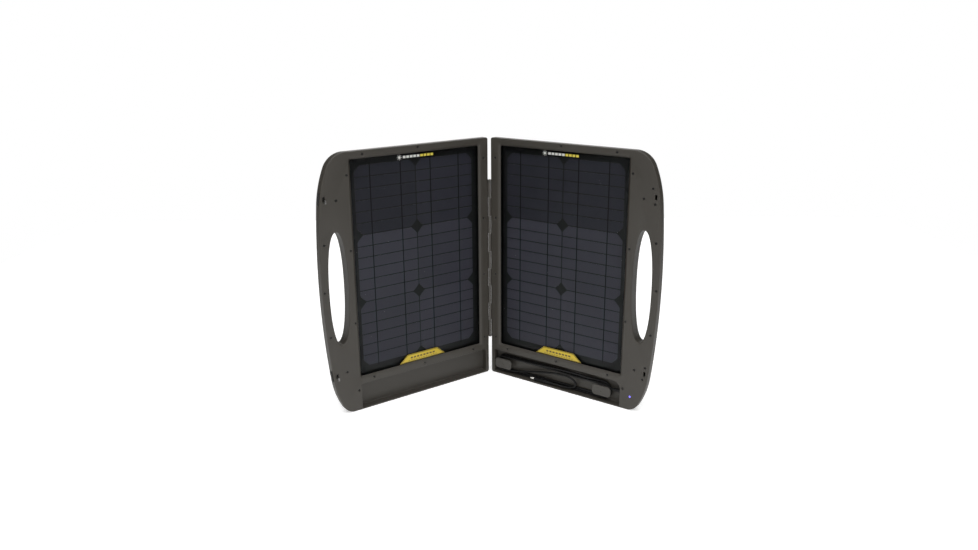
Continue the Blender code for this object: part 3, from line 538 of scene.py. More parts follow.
finishes = {
    # the case's pale edges are a painted highlight on its rims and window lips, over a little wear
    "casePlastic": {"colour": (0.0345, 0.0302, 0.0238), "roughness": 0.50, "wearAndHighlight": 3.6, "dust": 0.06,
                    "wearAndHighlightColour": (0.095, 0.088, 0.078), "drift": 0.10, "bump": 0.22, "edge": 0.0013},
    "coverPlastic": {"colour": (0.038, 0.034, 0.0275), "roughness": 0.56, "wearAndHighlight": 2.0, "dust": 0.06,
                     "grainScale": 1100.0, "bump": 0.35},
    "blackPlastic": {"colour": (0.018, 0.018, 0.018), "roughness": 0.45, "wearAndHighlight": 1.5, "bump": 0.2},
    "legPlastic": {"colour": (0.020, 0.019, 0.018), "roughness": 0.5, "wearAndHighlight": 1.8, "dust": 0.05, "bump": 0.3},
    "cleatPlastic": {"colour": (0.046, 0.042, 0.036), "roughness": 0.55, "wearAndHighlight": 1.6, "dust": 0.05},
    "cordRubber": {"colour": (0.005, 0.005, 0.005), "roughness": 0.42, "specular": 0.22, "grainScale": 700.0,
                   "bump": 0.12, "drift": 0.25},
    "footRubber": {"colour": (0.014, 0.014, 0.014), "roughness": 0.75, "grainScale": 900.0, "bump": 0.4},
    "sealRubber": {"colour": (0.012, 0.012, 0.012), "roughness": 0.7, "grainScale": 900.0},
    "backFilm": {"colour": (0.0020, 0.0020, 0.0020), "roughness": 0.34, "specular": 0.20, "grainScale": 400.0,
                 "bump": 0.08},
    "hingePaint": {"colour": (0.060, 0.055, 0.048), "roughness": 0.42, "wearAndHighlight": 2.6,
                   "wearAndHighlightColour": (0.20, 0.19, 0.18), "grainScale": 900.0, "coat": 0.15},
    "darkScrew": {"colour": (0.022, 0.022, 0.022), "roughness": 0.38, "metallic": 0.7, "wearAndHighlight": 2.5,
                  "wearAndHighlightColour": (0.20, 0.19, 0.18), "edge": 0.0002, "grainScale": 2500.0},
    "brightSteel": {"colour": (0.56, 0.56, 0.55), "roughness": 0.28, "metallic": 1.0, "grainScale": 2200.0,
                    "bump": 0.1, "drift": 0.06},
    "hookSteel": {"colour": (0.20, 0.195, 0.19), "roughness": 0.38, "metallic": 1.0, "grainScale": 2200.0,
                  "bump": 0.1},
    "nickelPlate": {"colour": (0.72, 0.70, 0.66), "roughness": 0.18, "metallic": 1.0, "grainScale": 2200.0,
                    "bump": 0.05, "drift": 0.04},
    # near black and not metallic: a painted dark reflection in place of shiny tin
    "tinRibbonDarkReflection": {"colour": (0.004, 0.004, 0.0045), "roughness": 0.5, "specular": 0.1, "grainScale": 900.0},
    "tabYellow": {"colour": (0.50, 0.365, 0.018), "roughness": 0.42, "grainScale": 1300.0, "bump": 0.1,
                  "drift": 0.06},
    "tabPrint": {"colour": (0.10, 0.07, 0.012), "roughness": 0.5, "grainScale": 1300.0},
    "markPale": {"colour": (0.60, 0.60, 0.57), "roughness": 0.5, "grainScale": 1300.0},
    "markYellow": {"colour": (0.62, 0.52, 0.06), "roughness": 0.5, "grainScale": 1300.0},
    "boardGreen": {"colour": (0.02, 0.12, 0.05), "roughness": 0.4, "grainScale": 600.0, "coat": 0.4},
}
paint = {name: finishOf(name, look) for name, look in finishes.items()}


def glassFinish():  # it lets lamps through, so what lies under it is lit plainly
    material, tree, shader, texture = startFinish("panelGlass", 90.0, 9.0)[:4]
    shader["Base Color"].default_value = (0.93, 0.95, 0.95, 1.0)
    shader["Transmission Weight"].default_value = 1.0
    shader["IOR"].default_value = 1.002
    tree.links.new(mathNode(tree, "MULTIPLY_ADD", texture["Drift"], 0.02, 0.02), shader["Roughness"])
    clear = addNode(tree, "ShaderNodeBsdfTransparent", {"Color": (0.92, 0.94, 0.94, 1.0)})
    rays = addNode(tree, "ShaderNodeLightPath")
    body = tree.nodes["Principled BSDF"].outputs[0]
    split = addNode(tree, "ShaderNodeMixShader",
                    {0: rays.outputs["Is Shadow Ray"], 1: body, 2: clear.outputs[0]})
    tree.links.new(split.outputs[0], tree.nodes["Material Output"].inputs["Surface"])
    return material


def cellFinish():  # dark wafers with fine finger lines across, on the piece's own flat map
    material, tree, shader, texture, flat = startFinish("siliconCells", 420.0, 9.0, "flatMap")
    height = addNode(tree, "ShaderNodeSeparateXYZ", {0: flat}).outputs["Y"]
    phase = mathNode(tree, "FRACT", mathNode(tree, "MULTIPLY", height, 1 / 0.0021))
    toneAndReflection = addNode(tree, "ShaderNodeAttribute", attribute_name="cellTone").outputs["Fac"]
    # the lighter end is a painted reflection of the pale floor on the lower rows; the top row keeps the
    # darker end, besides each cell's random tone
    shown = mixColour(tree, toneAndReflection, (0.0095, 0.0093, 0.0130), (0.0300, 0.0295, 0.0385))
    shown = mixColour(tree, mathNode(tree, "MULTIPLY", texture["Drift"], 0.4), shown, (0.022, 0.021, 0.026))
    finger = mathNode(tree, "MULTIPLY", mathNode(tree, "LESS_THAN", phase, 0.10), 0.10)
    tree.links.new(mixColour(tree, finger, shown, (0.05, 0.05, 0.055)), shader["Base Color"])
    tree.links.new(mathNode(tree, "MULTIPLY_ADD", texture["Grain"], 0.15, 0.30), shader["Roughness"])
    shader["Specular IOR Level"].default_value = 0.15
    pitted(tree, shader, texture, 0.04, 0.00005)
    return material


def lensFinish():
    material, tree, shader, texture = startFinish("lightLens", 900.0, 200.0)[:4]
    shown = mixColour(tree, texture["Drift"], (0.16, 0.12, 0.85), (0.30, 0.26, 1.0))
    tree.links.new(shown, shader["Base Color"])
    tree.links.new(shown, shader["Emission Color"])
    shader["Emission Strength"].default_value = 1.1
    shader["Roughness"].default_value = 0.15
    return material


paint["panelGlass"], paint["siliconCells"], paint["lightLens"] = glassFinish(), cellFinish(), lensFinish()
print("finishes:", len(paint))

# Camera, floor and lights come first, then the cord
standView = {"place": (-0.0067, -1.5934 + hingeY, 0.6979), "ahead": (0.00291, 0.95628, -0.29243),
             "right": (0.99997, -0.00478, -0.00568), "lens": 30.23}
studio = {"floorSide": 3.0, "floorColour": (0.90, 0.90, 0.90), "floorGlow": 0.42, "ambient": 0.27,
          "mirrorDark": 0.03,
          "lights": (("topSoftbox", (0.0, -0.9, 2.3), (0.0, 0.0, 0.2), 2.0, 41.0),
                     ("frontSoftbox", (0.3, -2.6, 1.5), (0.0, 0.0, 0.2), 1.6, 12.0),
                     ("leftSoftbox", (-2.2, -1.6, 1.6), (0.0, 0.0, 0.25), 1.4, 11.0),
                     ("rightSoftbox", (2.2, -1.6, 1.6), (0.0, 0.0, 0.25), 1.4, 10.0),
                     ("backSoftbox", (0.0, 2.4, 1.7), (0.0, 0.0, 0.25), 1.8, 22.0))}


def makeCamera():
    data = bpy.data.cameras.new("standView")
    data.lens = standView["lens"]
    data.sensor_width = 36.0
    camera = bpy.data.objects.new("standView", data)
    bpy.context.collection.objects.link(camera)
    ahead = Vector(standView["ahead"]).normalized()
    right = Vector(standView["right"])
    right = (right - ahead * right.dot(ahead)).normalized()
    up = right.cross(ahead)
    turn = Matrix((right, up, -ahead)).transposed()
    camera.matrix_world = Matrix.Translation(standView["place"]) @ turn.to_4x4()
    bpy.context.scene.camera = camera


def makeStudio():
    half = studio["floorSide"] / 2
    floor = looseMesh("studioFloor", [(-half, -half, 0), (half, -half, 0), (half, half, 0), (-half, half, 0)],
                      [(0, 1, 2, 3)])
    material = bpy.data.materials.new("paleFloor")
    material.use_nodes = True
    shader = material.node_tree.nodes["Principled BSDF"]
    shader.inputs["Base Color"].default_value = (*studio["floorColour"], 1.0)
    shader.inputs["Roughness"].default_value = 0.9
    shader.inputs["Specular IOR Level"].default_value = 0.1
    shader.inputs["Emission Color"].default_value = (1.0, 1.0, 1.0, 1.0)
    shader.inputs["Emission Strength"].default_value = studio["floorGlow"]
    floor.data.materials.append(material)
    for name, place, aim, size, power in studio["lights"]:
        data = bpy.data.lights.new(name, "AREA")
        data.shape = "SQUARE"
        data.size = size
        data.energy = power
        lamp = bpy.data.objects.new(name, data)
        lamp.location = place
        lamp.rotation_euler = (Vector(aim) - Vector(place)).to_track_quat("-Z", "Y").to_euler()
        bpy.context.collection.objects.link(lamp)
    world = bpy.data.worlds.new("studio")
    world.use_nodes = True
    tree = world.node_tree
    sky = tree.nodes["Background"]
    rays = addNode(tree, "ShaderNodeLightPath").outputs
    level = addNode(tree, "ShaderNodeMix", {0: rays["Is Camera Ray"], 2: studio["ambient"], 3: 1.0})
    mirrored = addNode(tree, "ShaderNodeMix",
                       {0: rays["Is Glossy Ray"], 2: level.outputs[0], 3: studio["mirrorDark"]})
    tree.links.new(mirrored.outputs[0], sky.inputs["Strength"])
    sky.inputs["Color"].default_value = (1.0, 1.0, 1.0, 1.0)
    bpy.context.scene.world = world
    bpy.context.scene.view_settings.view_transform = "Standard"


makeCamera()
makeStudio()
print("camera, floor and lights placed")

cord = {"radius": 2.1, "cleats": (30.6, 259.5), "cleatHeight": 22.4, "turns": (12.4, 16.7),
        "woundDepth": 13.0, "freeDepth": 8.4, "tip": 283.8, "leaveHeight": 30.5, "plugStart": 96.5,
        "plugDepth": 6.5, "plugHeight": 7.7, "length": 1.63}


def cleatArc(which, radius, depth, angles):
    centre = cord["cleats"][which]
    return [(centre + radius * math.cos(math.radians(angle)), depth,
             cord["cleatHeight"] + radius * math.sin(math.radians(angle))) for angle in angles]


def cordRoute():
    free, wound = cord["freeDepth"], cord["woundDepth"]
    first, second = cord["turns"]
    tip, leave, middle = cord["tip"], cord["leaveHeight"], cord["cleatHeight"]
    route = [(tip, free, leave), (tip - 5, free, leave), (tip - 12, free, leave + 1.2),
             (tip - 20, free, leave + 3.2), (tip - 34, free, leave + 4.4), (tip - 56, free, leave + 4.6),
             (tip - 76, free, leave + 4.4), (190, free + 0.6, 34.85), (172, 11.0, 34.8), (155, 12.6, 34.8),
             (138, wound, 34.8)]
    route += [(u, wound, middle + first) for u in (115, 90, 65, 45)]
    route += cleatArc(0, first, wound, range(90, 271, 30))
    route += [(u, wound, middle - first) for u in (50, 80, 115, 150, 185, 215, 240)]
    route += cleatArc(1, first, wound, range(-90, 91, 30))
    route += [(245, wound, 34.9), (225, wound, 35.4), (205, wound, 36.6), (185, wound, 38.0),
              (165, wound, 38.9)]
    route += [(u, wound, middle + second) for u in (145, 115, 85, 60, 45)]
    route += cleatArc(0, second, wound, range(90, 271, 22))[:-1]
    route += cleatArc(0, second, wound, (270,))
    route += [(u, wound, middle - second) for u in (50, 80, 115, 150, 185, 215, 240)]
    route += cleatArc(1, second, wound, (-90, -68, -45, -22, 0, 22, 45, 68, 90))
    route += [(250, 12.6, 39.2), (240, 11.0, 39.5), (232, 9.4, 39.9)]
    route += [(226, free, 40.2), (200, free, 41.6), (165, free, 41.0), (130, free, 39.4), (95, free, 38.0),
              (60, free, 37.2)]
    route += cleatArc(0, 14.4, free, range(90, 271, 30))
    route += [(50, free, 9.6), (75, free, 14.2), (105, free, 21.0), (135, free, 27.0), (163, free, 30.4),
              (184, free, 30.0), (197, free, 24.6), (201, free - 0.2, 18.0), (197, free - 0.6, 12.0),
              (186, free - 1.2, 8.6), (172, free - 1.8, 7.6), (160, cord["plugDepth"], cord["plugHeight"]),
              (cord["plugStart"] + 53.6, cord["plugDepth"], cord["plugHeight"])]
    return [Vector(point) for point in route]


def smoothRoute(route, spacing):
    ends = [route[0] * 2 - route[1]] + route + [route[-1] * 2 - route[-2]]
    fine = [route[0]]
    for index in range(1, len(ends) - 2):
        a, b, c, d = ends[index - 1:index + 3]
        for step in range(1, 21):
            t = step / 20
            fine.append(0.5 * (b * 2 + (c - a) * t + (a * 2 - b * 5 + c * 4 - d) * t * t
                               + (b * 3 - a - c * 3 + d) * t * t * t))
    total = sum((after - before).length for before, after in zip(fine, fine[1:]))
    count = round(total / spacing)
    placed, walked = [fine[0]], 0.0
    for before, after in zip(fine, fine[1:]):
        length = (after - before).length
        while len(placed) < count and walked + length >= total * len(placed) / count:
            placed.append(before.lerp(after, (total * len(placed) / count - walked) / length))
        walked += length
    placed.append(fine[-1])
    return placed, total


def makeCord():
    points, total = smoothRoute(cordRoute(), 3.0)
    matrix = halfMatrix(1)
    curve = bpy.data.curves.new("outputCord", "CURVE")
    curve.dimensions = "3D"
    curve.bevel_depth = cord["radius"] * 0.001
    curve.bevel_resolution = 4
    curve.use_fill_caps = True
    spline = curve.splines.new("POLY")
    spline.points.add(len(points) - 1)
    for knot, point in zip(spline.points, points):
        knot.co = (*(matrix @ point), 1.0)
    spline.use_smooth = True
    curve.materials.append(paint["cordRubber"])
    piece = bpy.data.objects.new("outputCord", curve)
    bpy.context.collection.objects.link(piece)
    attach(piece, "right_half")
    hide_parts("cord_hank", "cord_lead", "cord_tail")
    print("cord is", round(total, 1), "mm long")
    return piece


plug = {"ribs": 9, "ribStep": 2.1, "ribFrom": 14.5, "rings": (38.0, 41.0, 44.0)}


def makePlug():
    centre = (cord["plugStart"], cord["plugDepth"], cord["plugHeight"])
    body = lathe("plugBody", [(3.2, 9.3), (3.55, 9.5), (3.75, 10.0), (3.75, 12.6), (3.45, 13.0), (3.45, 33.6),
                              (3.75, 34.0), (3.75, 34.8), (3.3, 35.6), (3.15, 36.4), (3.05, 41.0),
                              (2.85, 46.0), (2.6, 53.4), (2.15, 53.5)], centre, "u", 32)
    rib = lathe("rib", [(3.3, -0.6), (3.75, -0.35), (3.85, 0.0), (3.75, 0.35), (3.3, 0.6)], (0, 0, 0), "u")
    ribs = inRow(rib, plug["ribs"], (centre[0] + plug["ribFrom"], centre[1], centre[2]),
                 (plug["ribStep"], 0.0, 0.0), "cordRubber")
    rings = [lathe("ring", [(2.5, -0.45), (3.12, -0.3), (3.2, 0.0), (3.12, 0.3), (2.5, 0.45)],
                   (centre[0] + along, centre[1], centre[2]), "u", 32) for along in plug["rings"]]
    body = settle(joined([body, ribs, *rings], "plugBody"), "plugBody", 1, "cordRubber",
                  ("plug_body",))
    barrel = lathe("barrel", [(1.25, 0.25), (1.25, 0.0), (2.35, 0.0), (2.65, 0.3), (2.75, 0.7), (2.75, 8.6),
                              (2.6, 9.0), (1.25, 9.0), (1.25, 3.0)], centre, "u", 40, True)
    tip = settle(barrel, "plugTip", 1, "nickelPlate", ("plug_tip",))
    core = lathe("core", [(0.5, 0.5), (1.18, 0.5), (1.18, 8.6), (0.5, 8.6)], centre, "u", 24, True)
    core = settle(core, "plugInsulator", 1, "blackPlastic")
    return [body, tip, core]


gland = {"base": 299.7, "rings": 4, "ringStep": 2.4, "ringFrom": 4.6}


def makeGland():
    start = (gland["base"], cord["freeDepth"], cord["leaveHeight"])
    boot = lathe("boot", [(2.12, 0.0), (4.7, 0.0), (5.0, -0.3), (5.0, -1.7), (4.7, -2.0), (3.9, -2.3),
                          (3.75, -3.0), (2.75, -15.3), (2.45, -15.6), (2.12, -15.6)], start, "u", 32, True)
    ring = lathe("ring", [(2.6, -0.5), (3.35, -0.4), (3.45, 0.0), (3.35, 0.4), (2.6, 0.5)], (0, 0, 0), "u")
    rings = inRow(ring, gland["rings"], (start[0] - gland["ringFrom"], start[1], start[2]),
                  (-gland["ringStep"], 0.0, 0.0), "cordRubber")
    return settle(joined([boot, rings], "strainRelief"), "strainRelief", 1, "cordRubber",
                  ("cord_gland",))


cordPiece = makeCord()
plugPieces = makePlug()
strainRelief = makeGland()
print("cord, plug and strain relief made")

cleat = {"head": (40.0, 21.0, 2.8), "corner": 7.0, "top": 2.55, "stem": 11.9, "stemReach": 10.0,
         "stemFoot": 15.1, "dish": 0.5}


def makeCleat(name, which):
    centre, height = cord["cleats"][which], cord["cleatHeight"]
    width, tall, thick = cleat["head"]
    outline = roundedBox(centre - width / 2, centre + width / 2, height - tall / 2, height + tall / 2,
                         cleat["corner"], 8)
    levels = ((-6.5, cleat["dish"]), (-4.6, cleat["dish"]), (-3.4, 0.12), (-1.3, 0.0), (-0.6, 0.18),
              (-0.15, 0.6), (0.0, 1.2), (-0.1, thick - 0.5), (-0.5, thick - 0.1), (-1.0, thick))
    head = layered("head", outline, [(grow, cleat["top"] + w) for grow, w in levels])
    half = cleat["stemReach"]
    stem = softPrism("stem", roundedBox(centre - half, centre + half, height - cleat["stem"] / 2,
                                        height + cleat["stem"] / 2, cleat["stem"] / 2 - 0.2, 8),
                     cleat["top"] + 1.5, cleat["stemFoot"], 0.4)
    screw = lathe("screwDimple", [(2.0, cleat["top"] + cleat["dish"] - 0.01),
                                  (1.6, cleat["top"] + cleat["dish"] + 0.5)], (centre, 0.0, height), "w", 24)
    head = shaped(head, [screw])
    settle(joined([head, stem], name), name, 1, "cleatPlastic",
           (name.replace("CordCleat", "_cord_cleat"),))


makeCleat("innerCordCleat", 0)
makeCleat("outerCordCleat", 1)
print("cleats made")

window = {"left": 25.1, "right": 299.0, "low": 67.0, "top": 474.5, "corner": 3.0, "lip": 3.6}
tray = {"left": 10.0, "right": 300.0, "low": 2.75, "top": 52.0, "floor": 15.4, "wall": 2.0, "fillet": 2.8,
        "corner": {-1: 2.0, 1: 15.0}}
slot = {"middle": 333.6, "height": 244.35, "width": 38.2, "tall": 211.0, "fullness": 2.25, "wall": 2.2,
        "round": 1.7}
latch = {"heights": {"upper": 408.6, "lower": 77.6}, "inset": 7.6, "travel": 4.5, "hookWidth": 2.6,
         "hookDepth": 4.0, "slotWidth": 4.4}
screws = {"head": 2.0, "sink": 0.5, "headHeight": 1.3, "shank": 1.2, "length": 15.0, "seed": 11,
          "both": ((274.9, 482.0), (160.9, 484.0), (306.8, 448.0), (329.8, 406.0), (357.2, 329.8),
                   (362.3, 243.3), (356.2, 157.8), (305.3, 174.3), (306.5, 312.0), (327.5, 83.6),
                   (305.4, 40.5), (272.7, 59.8), (159.4, 59.5), (42.9, 58.9), (13.5, 450.0), (14.0, 331.0),
                   (13.5, 215.0), (13.5, 79.0)),
          "rightOnly": ((351.5, 398.5), (346.3, 425.3), (349.0, 92.3), (344.7, 68.2)),
          "bossed": ((13.5, 450.0), (13.5, 79.0), (329.8, 406.0), (327.5, 83.6))}
light = {"place": (320.9, 0.0, 27.3), "radius": 2.0}
hinge = {"low": 78.0, "top": 406.5, "knuckles": 9, "radius": 2.6, "play": 0.4, "pin": 1.0, "leafOut": 2.7,
         "leafIn": 1.5, "leafFrom": 2.4, "leafTo": 10.4, "screw": (2.4, 0.6, 1.4, 7.9)}


def slotOval(grow, steps=96):
    points = []
    for step in range(steps):
        angle = 2 * math.pi * step / steps
        across = math.copysign(abs(math.cos(angle)) ** (2 / slot["fullness"]), math.cos(angle))
        up = math.copysign(abs(math.sin(angle)) ** (2 / slot["fullness"]), math.sin(angle))
        points.append((slot["middle"] + (slot["width"] / 2 + grow) * across,
                       slot["height"] + (slot["tall"] / 2 + grow) * up))
    return points


def windowOutline(grow):
    return roundedBox(window["left"] - grow, window["right"] + grow, window["low"] - grow,
                      window["top"] + grow, window["corner"] + max(grow, -2.0), 8)


def trayOutline(side, grow):
    return roundedBox(tray["left"] - grow, tray["right"] + grow, tray["low"] - grow, tray["top"] + grow,
                      max(1.2 + grow, 0.3), 4, max(tray["corner"][side] + grow, 0.3))


def hookLine(height):
    return edgeAt(height) - latch["inset"]


def screwSpots(side):
    return screws["both"] + (screws["rightOnly"] if side > 0 else ())


def hingeScrewHeights():
    pitch = (hinge["top"] - hinge["low"]) / hinge["knuckles"]
    return (hinge["low"] + pitch * 0.5, hinge["top"] - pitch * 0.5)


def leafMiddle():
    return (hinge["radius"] + hinge["leafTo"]) / 2 + 0.6


def roundRim(edge, top):
    return [(edge * (1 - sine), top + edge * (1 - cosine)) for cosine, sine in quarterTurn(5)]


def mouth(edge, top):  # profile of a round rim from a face inward
    return [(edge + 0.02, top - 1.5)] + roundRim(edge, top)


def wholeCase(name):
    front, deep = halfCase["coverFront"], halfCase["back"] - halfCase["coverFront"]
    rings = [(halfCase["coverRound"] * (1 - cosine), front + deep * sine) for cosine, sine in quarterTurn(8)]
    return profiled(name, caseOutline, [(0.0, halfCase["face"])] + rings)


def frontCase(side):
    face, faceBack, parting = halfCase["face"], halfCase["faceBack"], halfCase["parting"]
    seam = halfCase["seam"]
    shell = profiled("shell", caseOutline,
                     roundRim(halfCase["edge"], face) + [(0.0, parting - seam), (seam, parting)])
    cavity = prism("cavity", caseOutline(halfCase["wall"]), faceBack, parting + 1)
    kept = [prism("slotTube", slotOval(slot["wall"]), faceBack - 1, parting + 2),
            prism("trayShell", trayOutline(side, tray["wall"]), faceBack - 1, parting + 2)]
    shaped(cavity, kept)
    shaped(shell, [cavity])
    well = prism("well", trayOutline(side, tray["wall"]), parting - 1.0, tray["floor"] + tray["wall"])
    shaped(well, [wholeCase("skin")], "INTERSECT")
    shaped(shell, [well], "UNION")
    lip = window["lip"]
    openings = [profiled("window", windowOutline,
                         ((lip + 0.35, face - 1), (lip + 0.35, face), (lip - 0.1, face + 0.15),
                          (0.3, faceBack - 0.35), (0.0, faceBack), (0.0, faceBack + 4))),
                profiled("slotMouth", slotOval, mouth(slot["round"], face) + [(0.0, parting + 3)])]
    fillet = tray["fillet"]
    floorRound = [(-fillet * (1 - cosine), tray["floor"] - fillet * (1 - sine))
                  for cosine, sine in quarterTurn(5)]
    openings.append(profiled("tray", lambda grow: trayOutline(side, grow), mouth(0.7, face) + floorRound))
    seats = [lathe("seat", [(screws["head"] + 0.75, face - 1), (screws["head"] + 0.75, face),
                            (screws["head"] + 0.35, face + 0.35), (screws["head"] + 0.3, face + 2.1),
                            (screws["shank"] + 0.3, face + 2.1), (screws["shank"] + 0.3, faceBack + 1)],
                   (u, 0.0, z), "w", 20) for u, z in screwSpots(side)]
    for height in latch["heights"].values():
        line, half = hookLine(height), latch["slotWidth"] / 2
        low = height - latch["hookDepth"] / 2 - 0.5
        high = height + latch["hookDepth"] / 2 + latch["travel"] + 0.5
        seats.append(softBlock("latchSlot", (line - half, face - 2, low), (line + half, faceBack + 2, high),
                               0.6))
        if side < 0:
            outer = edgeAt(height)
            seats.append(block("leverSlot", (outer - halfCase["wall"] - 1.5, 4.1, height - 4.6),
                               (outer + 3, 7.9, height + 4.6 + latch["travel"])))
    if side > 0:
        reach = light["radius"]
        seats.append(lathe("lightHole", [(reach + 0.8, face - 1), (reach + 0.8, face),
                                         (reach + 0.35, face + 0.5), (reach + 0.3, parting)],
                           light["place"], "w", 24))
    for height in hingeScrewHeights():
        seats.append(lathe("hingeBore", [(1.7, 0.0), (1.7, 8.0)],
                           (halfCase["hingeGap"] - 1, leafMiddle(), height), "u", 16))
    shaped(shell, openings + [joined(seats, "seats")])
    cleaned(shell)
    name = labels[side] + "FrontCase"
    return settle(shell, name, side, "casePlastic", (labels[side] + "_front_frame",))


for side in (-1, 1):
    frontCase(side)
print("front cases made")

leg = {"pivot": 380.0, "length": 300.0, "width": 46.0, "footShare": 0.72, "holeShare": 0.45, "thick": 4.6,
       "play": 0.6, "pinRadius": 1.5, "pinReach": 4.0, "foot": 9.0, "middle": 162.05, "edge": 0.9}
cover = {"scoop": (74.0, 30.0, 3.0), "grooves": 8, "grooveStep": 36.0, "grooveFrom": 120.0,
         "grooveDepth": 0.7, "skin": 2.0}


def backShell(side):
    front, back, wall = halfCase["coverFront"], halfCase["back"], halfCase["wall"]
    deep, seam = back - front, halfCase["seam"]
    rounds = [(halfCase["coverRound"] * (1 - cosine), sine) for cosine, sine in quarterTurn(10)]
    rings = [(seam, front), (0.0, front + seam)]
    rings += [(drawn, front + deep * sine) for drawn, sine in rounds[1:]]
    inner = [(wall, front - 1)]
    inner += [(wall + drawn * 0.9, front + (deep - wall) * sine) for drawn, sine in rounds]
    shell = profiled("shell", caseOutline, rings)
    cavity = profiled("cavity", caseOutline, inner)
    middle, half = leg["middle"], leg["width"] / 2 + leg["play"]
    top, low = leg["pivot"] + leg["thick"] / 2 + leg["play"], leg["pivot"] - leg["length"] - leg["play"]
    near = back - leg["thick"] - leg["play"]
    wide, tall, sink = cover["scoop"]
    scoopLow, skin, ear = low - 4, cover["skin"], leg["pinReach"] + 2
    kept = [prism("slotTube", slotOval(slot["wall"]), front - 2, back + 1),
            block("recessShell", (middle - half - skin, near - skin, low - skin),
                  (middle + half + skin, back + 1, top + skin)),
            block("ears", (middle - half - ear, near - skin, leg["pivot"] - 6),
                  (middle + half + ear, back + 1, top + skin)),
            block("scoopShell", (middle - wide / 2 - skin, back - sink - skin, scoopLow - skin),
                  (middle + wide / 2 + skin, back + 1, scoopLow + tall + skin))]
    kept += [lathe("boss", [(3.2, front), (3.2, back)], (u, 0.0, z), "w", 20) for u, z in screws["bossed"]]
    shaped(cavity, kept)
    shaped(shell, [cavity])
    backMouth = [(grow, back - w) for grow, w in mouth(slot["round"], 0.0)]
    cuts = [profiled("slotMouth", slotOval, [(0.0, front - 3)] + list(reversed(backMouth))),
            prism("trayNotch", trayOutline(side, tray["wall"] + 0.3), front - 2,
                  tray["floor"] + tray["wall"] + 0.3)]
    recess = roundedBox(middle - half, middle + half, low, top, 1.5, 5)
    cuts.append(layered("recess", recess,
                        ((-0.6, near), (0.0, near + 0.6), (0.0, back - 0.7), (0.25, back - 0.25),
                         (0.8, back + 0.02), (0.8, back + 2))))
    dip = roundedBox(middle - wide / 2, middle + wide / 2, scoopLow, scoopLow + tall, 9.0, 8)
    cuts.append(layered("scoop", dip,
                        ((-5.0, back - sink), (-3.2, back - sink + 0.35), (-1.6, back - sink + 1.2),
                         (-0.6, back - 1.0), (0.0, back + 0.02), (0.0, back + 2))))
    cuts.append(lathe("pinBore", [(leg["pinRadius"] + 0.3, -half - leg["pinReach"]),
                                  (leg["pinRadius"] + 0.3, half + leg["pinReach"])],
                      (middle, back - leg["thick"] / 2, leg["pivot"]), "u", 24))
    shaped(shell, cuts)
    bores = [lathe("bore", [(screws["shank"] + 0.3, front - 2),
                            (screws["shank"] + 0.3, halfCase["face"] + 15.8)], (u, 0.0, z), "w", 16)
             for u, z in screws["bossed"]]
    depth = cover["grooveDepth"]
    grooves = []
    for lowU, highU in ((38.0, 122.0), (202.0, 292.0)):
        bar = roundedBox(lowU, highU, -3.0, 3.0, 2.9, 6)
        groove = layered("groove", bar, ((-1.6, back - depth), (-0.8, back - depth * 0.8),
                                         (0.0, back + 0.01), (0.0, back + 1)))
        grooves.append(inRow(groove, cover["grooves"], (0.0, 0.0, cover["grooveFrom"]),
                             (0.0, 0.0, cover["grooveStep"]), "coverPlastic"))
    line = profiled("line", caseOutline, ((15.0, back + 1), (15.0, back), (15.6, back - 0.5),
                                          (16.4, back - 0.5), (17.0, back), (17.0, back + 1)), True)
    shaped(shell, [joined(bores, "bores"), joined(grooves, "grooves"), line])
    cleaned(shell)
    name = labels[side] + "BackShell"
    return settle(shell, name, side, "coverPlastic", (labels[side] + "_back_cover",))


for side in (-1, 1):
    backShell(side)
print("back shells made")

panel = {"cell": 125.0, "pitch": 127.0, "ingot": 80.5, "strips": 6, "stripGap": 1.9, "middle": (162.7, 271.9),
         "front": 8.62, "thick": 0.22, "backing": (8.9, 9.3), "backingOver": 2.4, "ribbon": 1.9,
         "ribbonAt": 31.5, "ribbonThick": 0.06, "ribbonSits": 0.08, "ribbonOver": 8.0, "seed": 5}


def cellShape():
    half, strip = panel["cell"] / 2, panel["cell"] / panel["strips"]
    strips = []
    for index in range(panel["strips"]):
        low = -half + index * strip + (panel["stripGap"] / 2 if index else 0.0)
        high = -half + (index + 1) * strip - (panel["stripGap"] / 2 if index < panel["strips"] - 1 else 0.0)
        right = []
        for step in range(9):
            z = low + (high - low) * step / 8
            right.append((min(half, math.sqrt(max(panel["ingot"] ** 2 - z * z, 0.0))), z))
        outline = right + [(-u, z) for u, z in reversed(right)]
        strips.append(prism("strip", outline, 0.0, panel["thick"]))
    return joined(strips, "cellShape")


def flatMap(thing):
    layer = thing.data.uv_layers.new(name="flatMap")
    for loop in thing.data.loops:
        spot = thing.data.vertices[loop.vertex_index].co
        layer.data[loop.index].uv = (spot.x * 0.001, spot.z * 0.001)


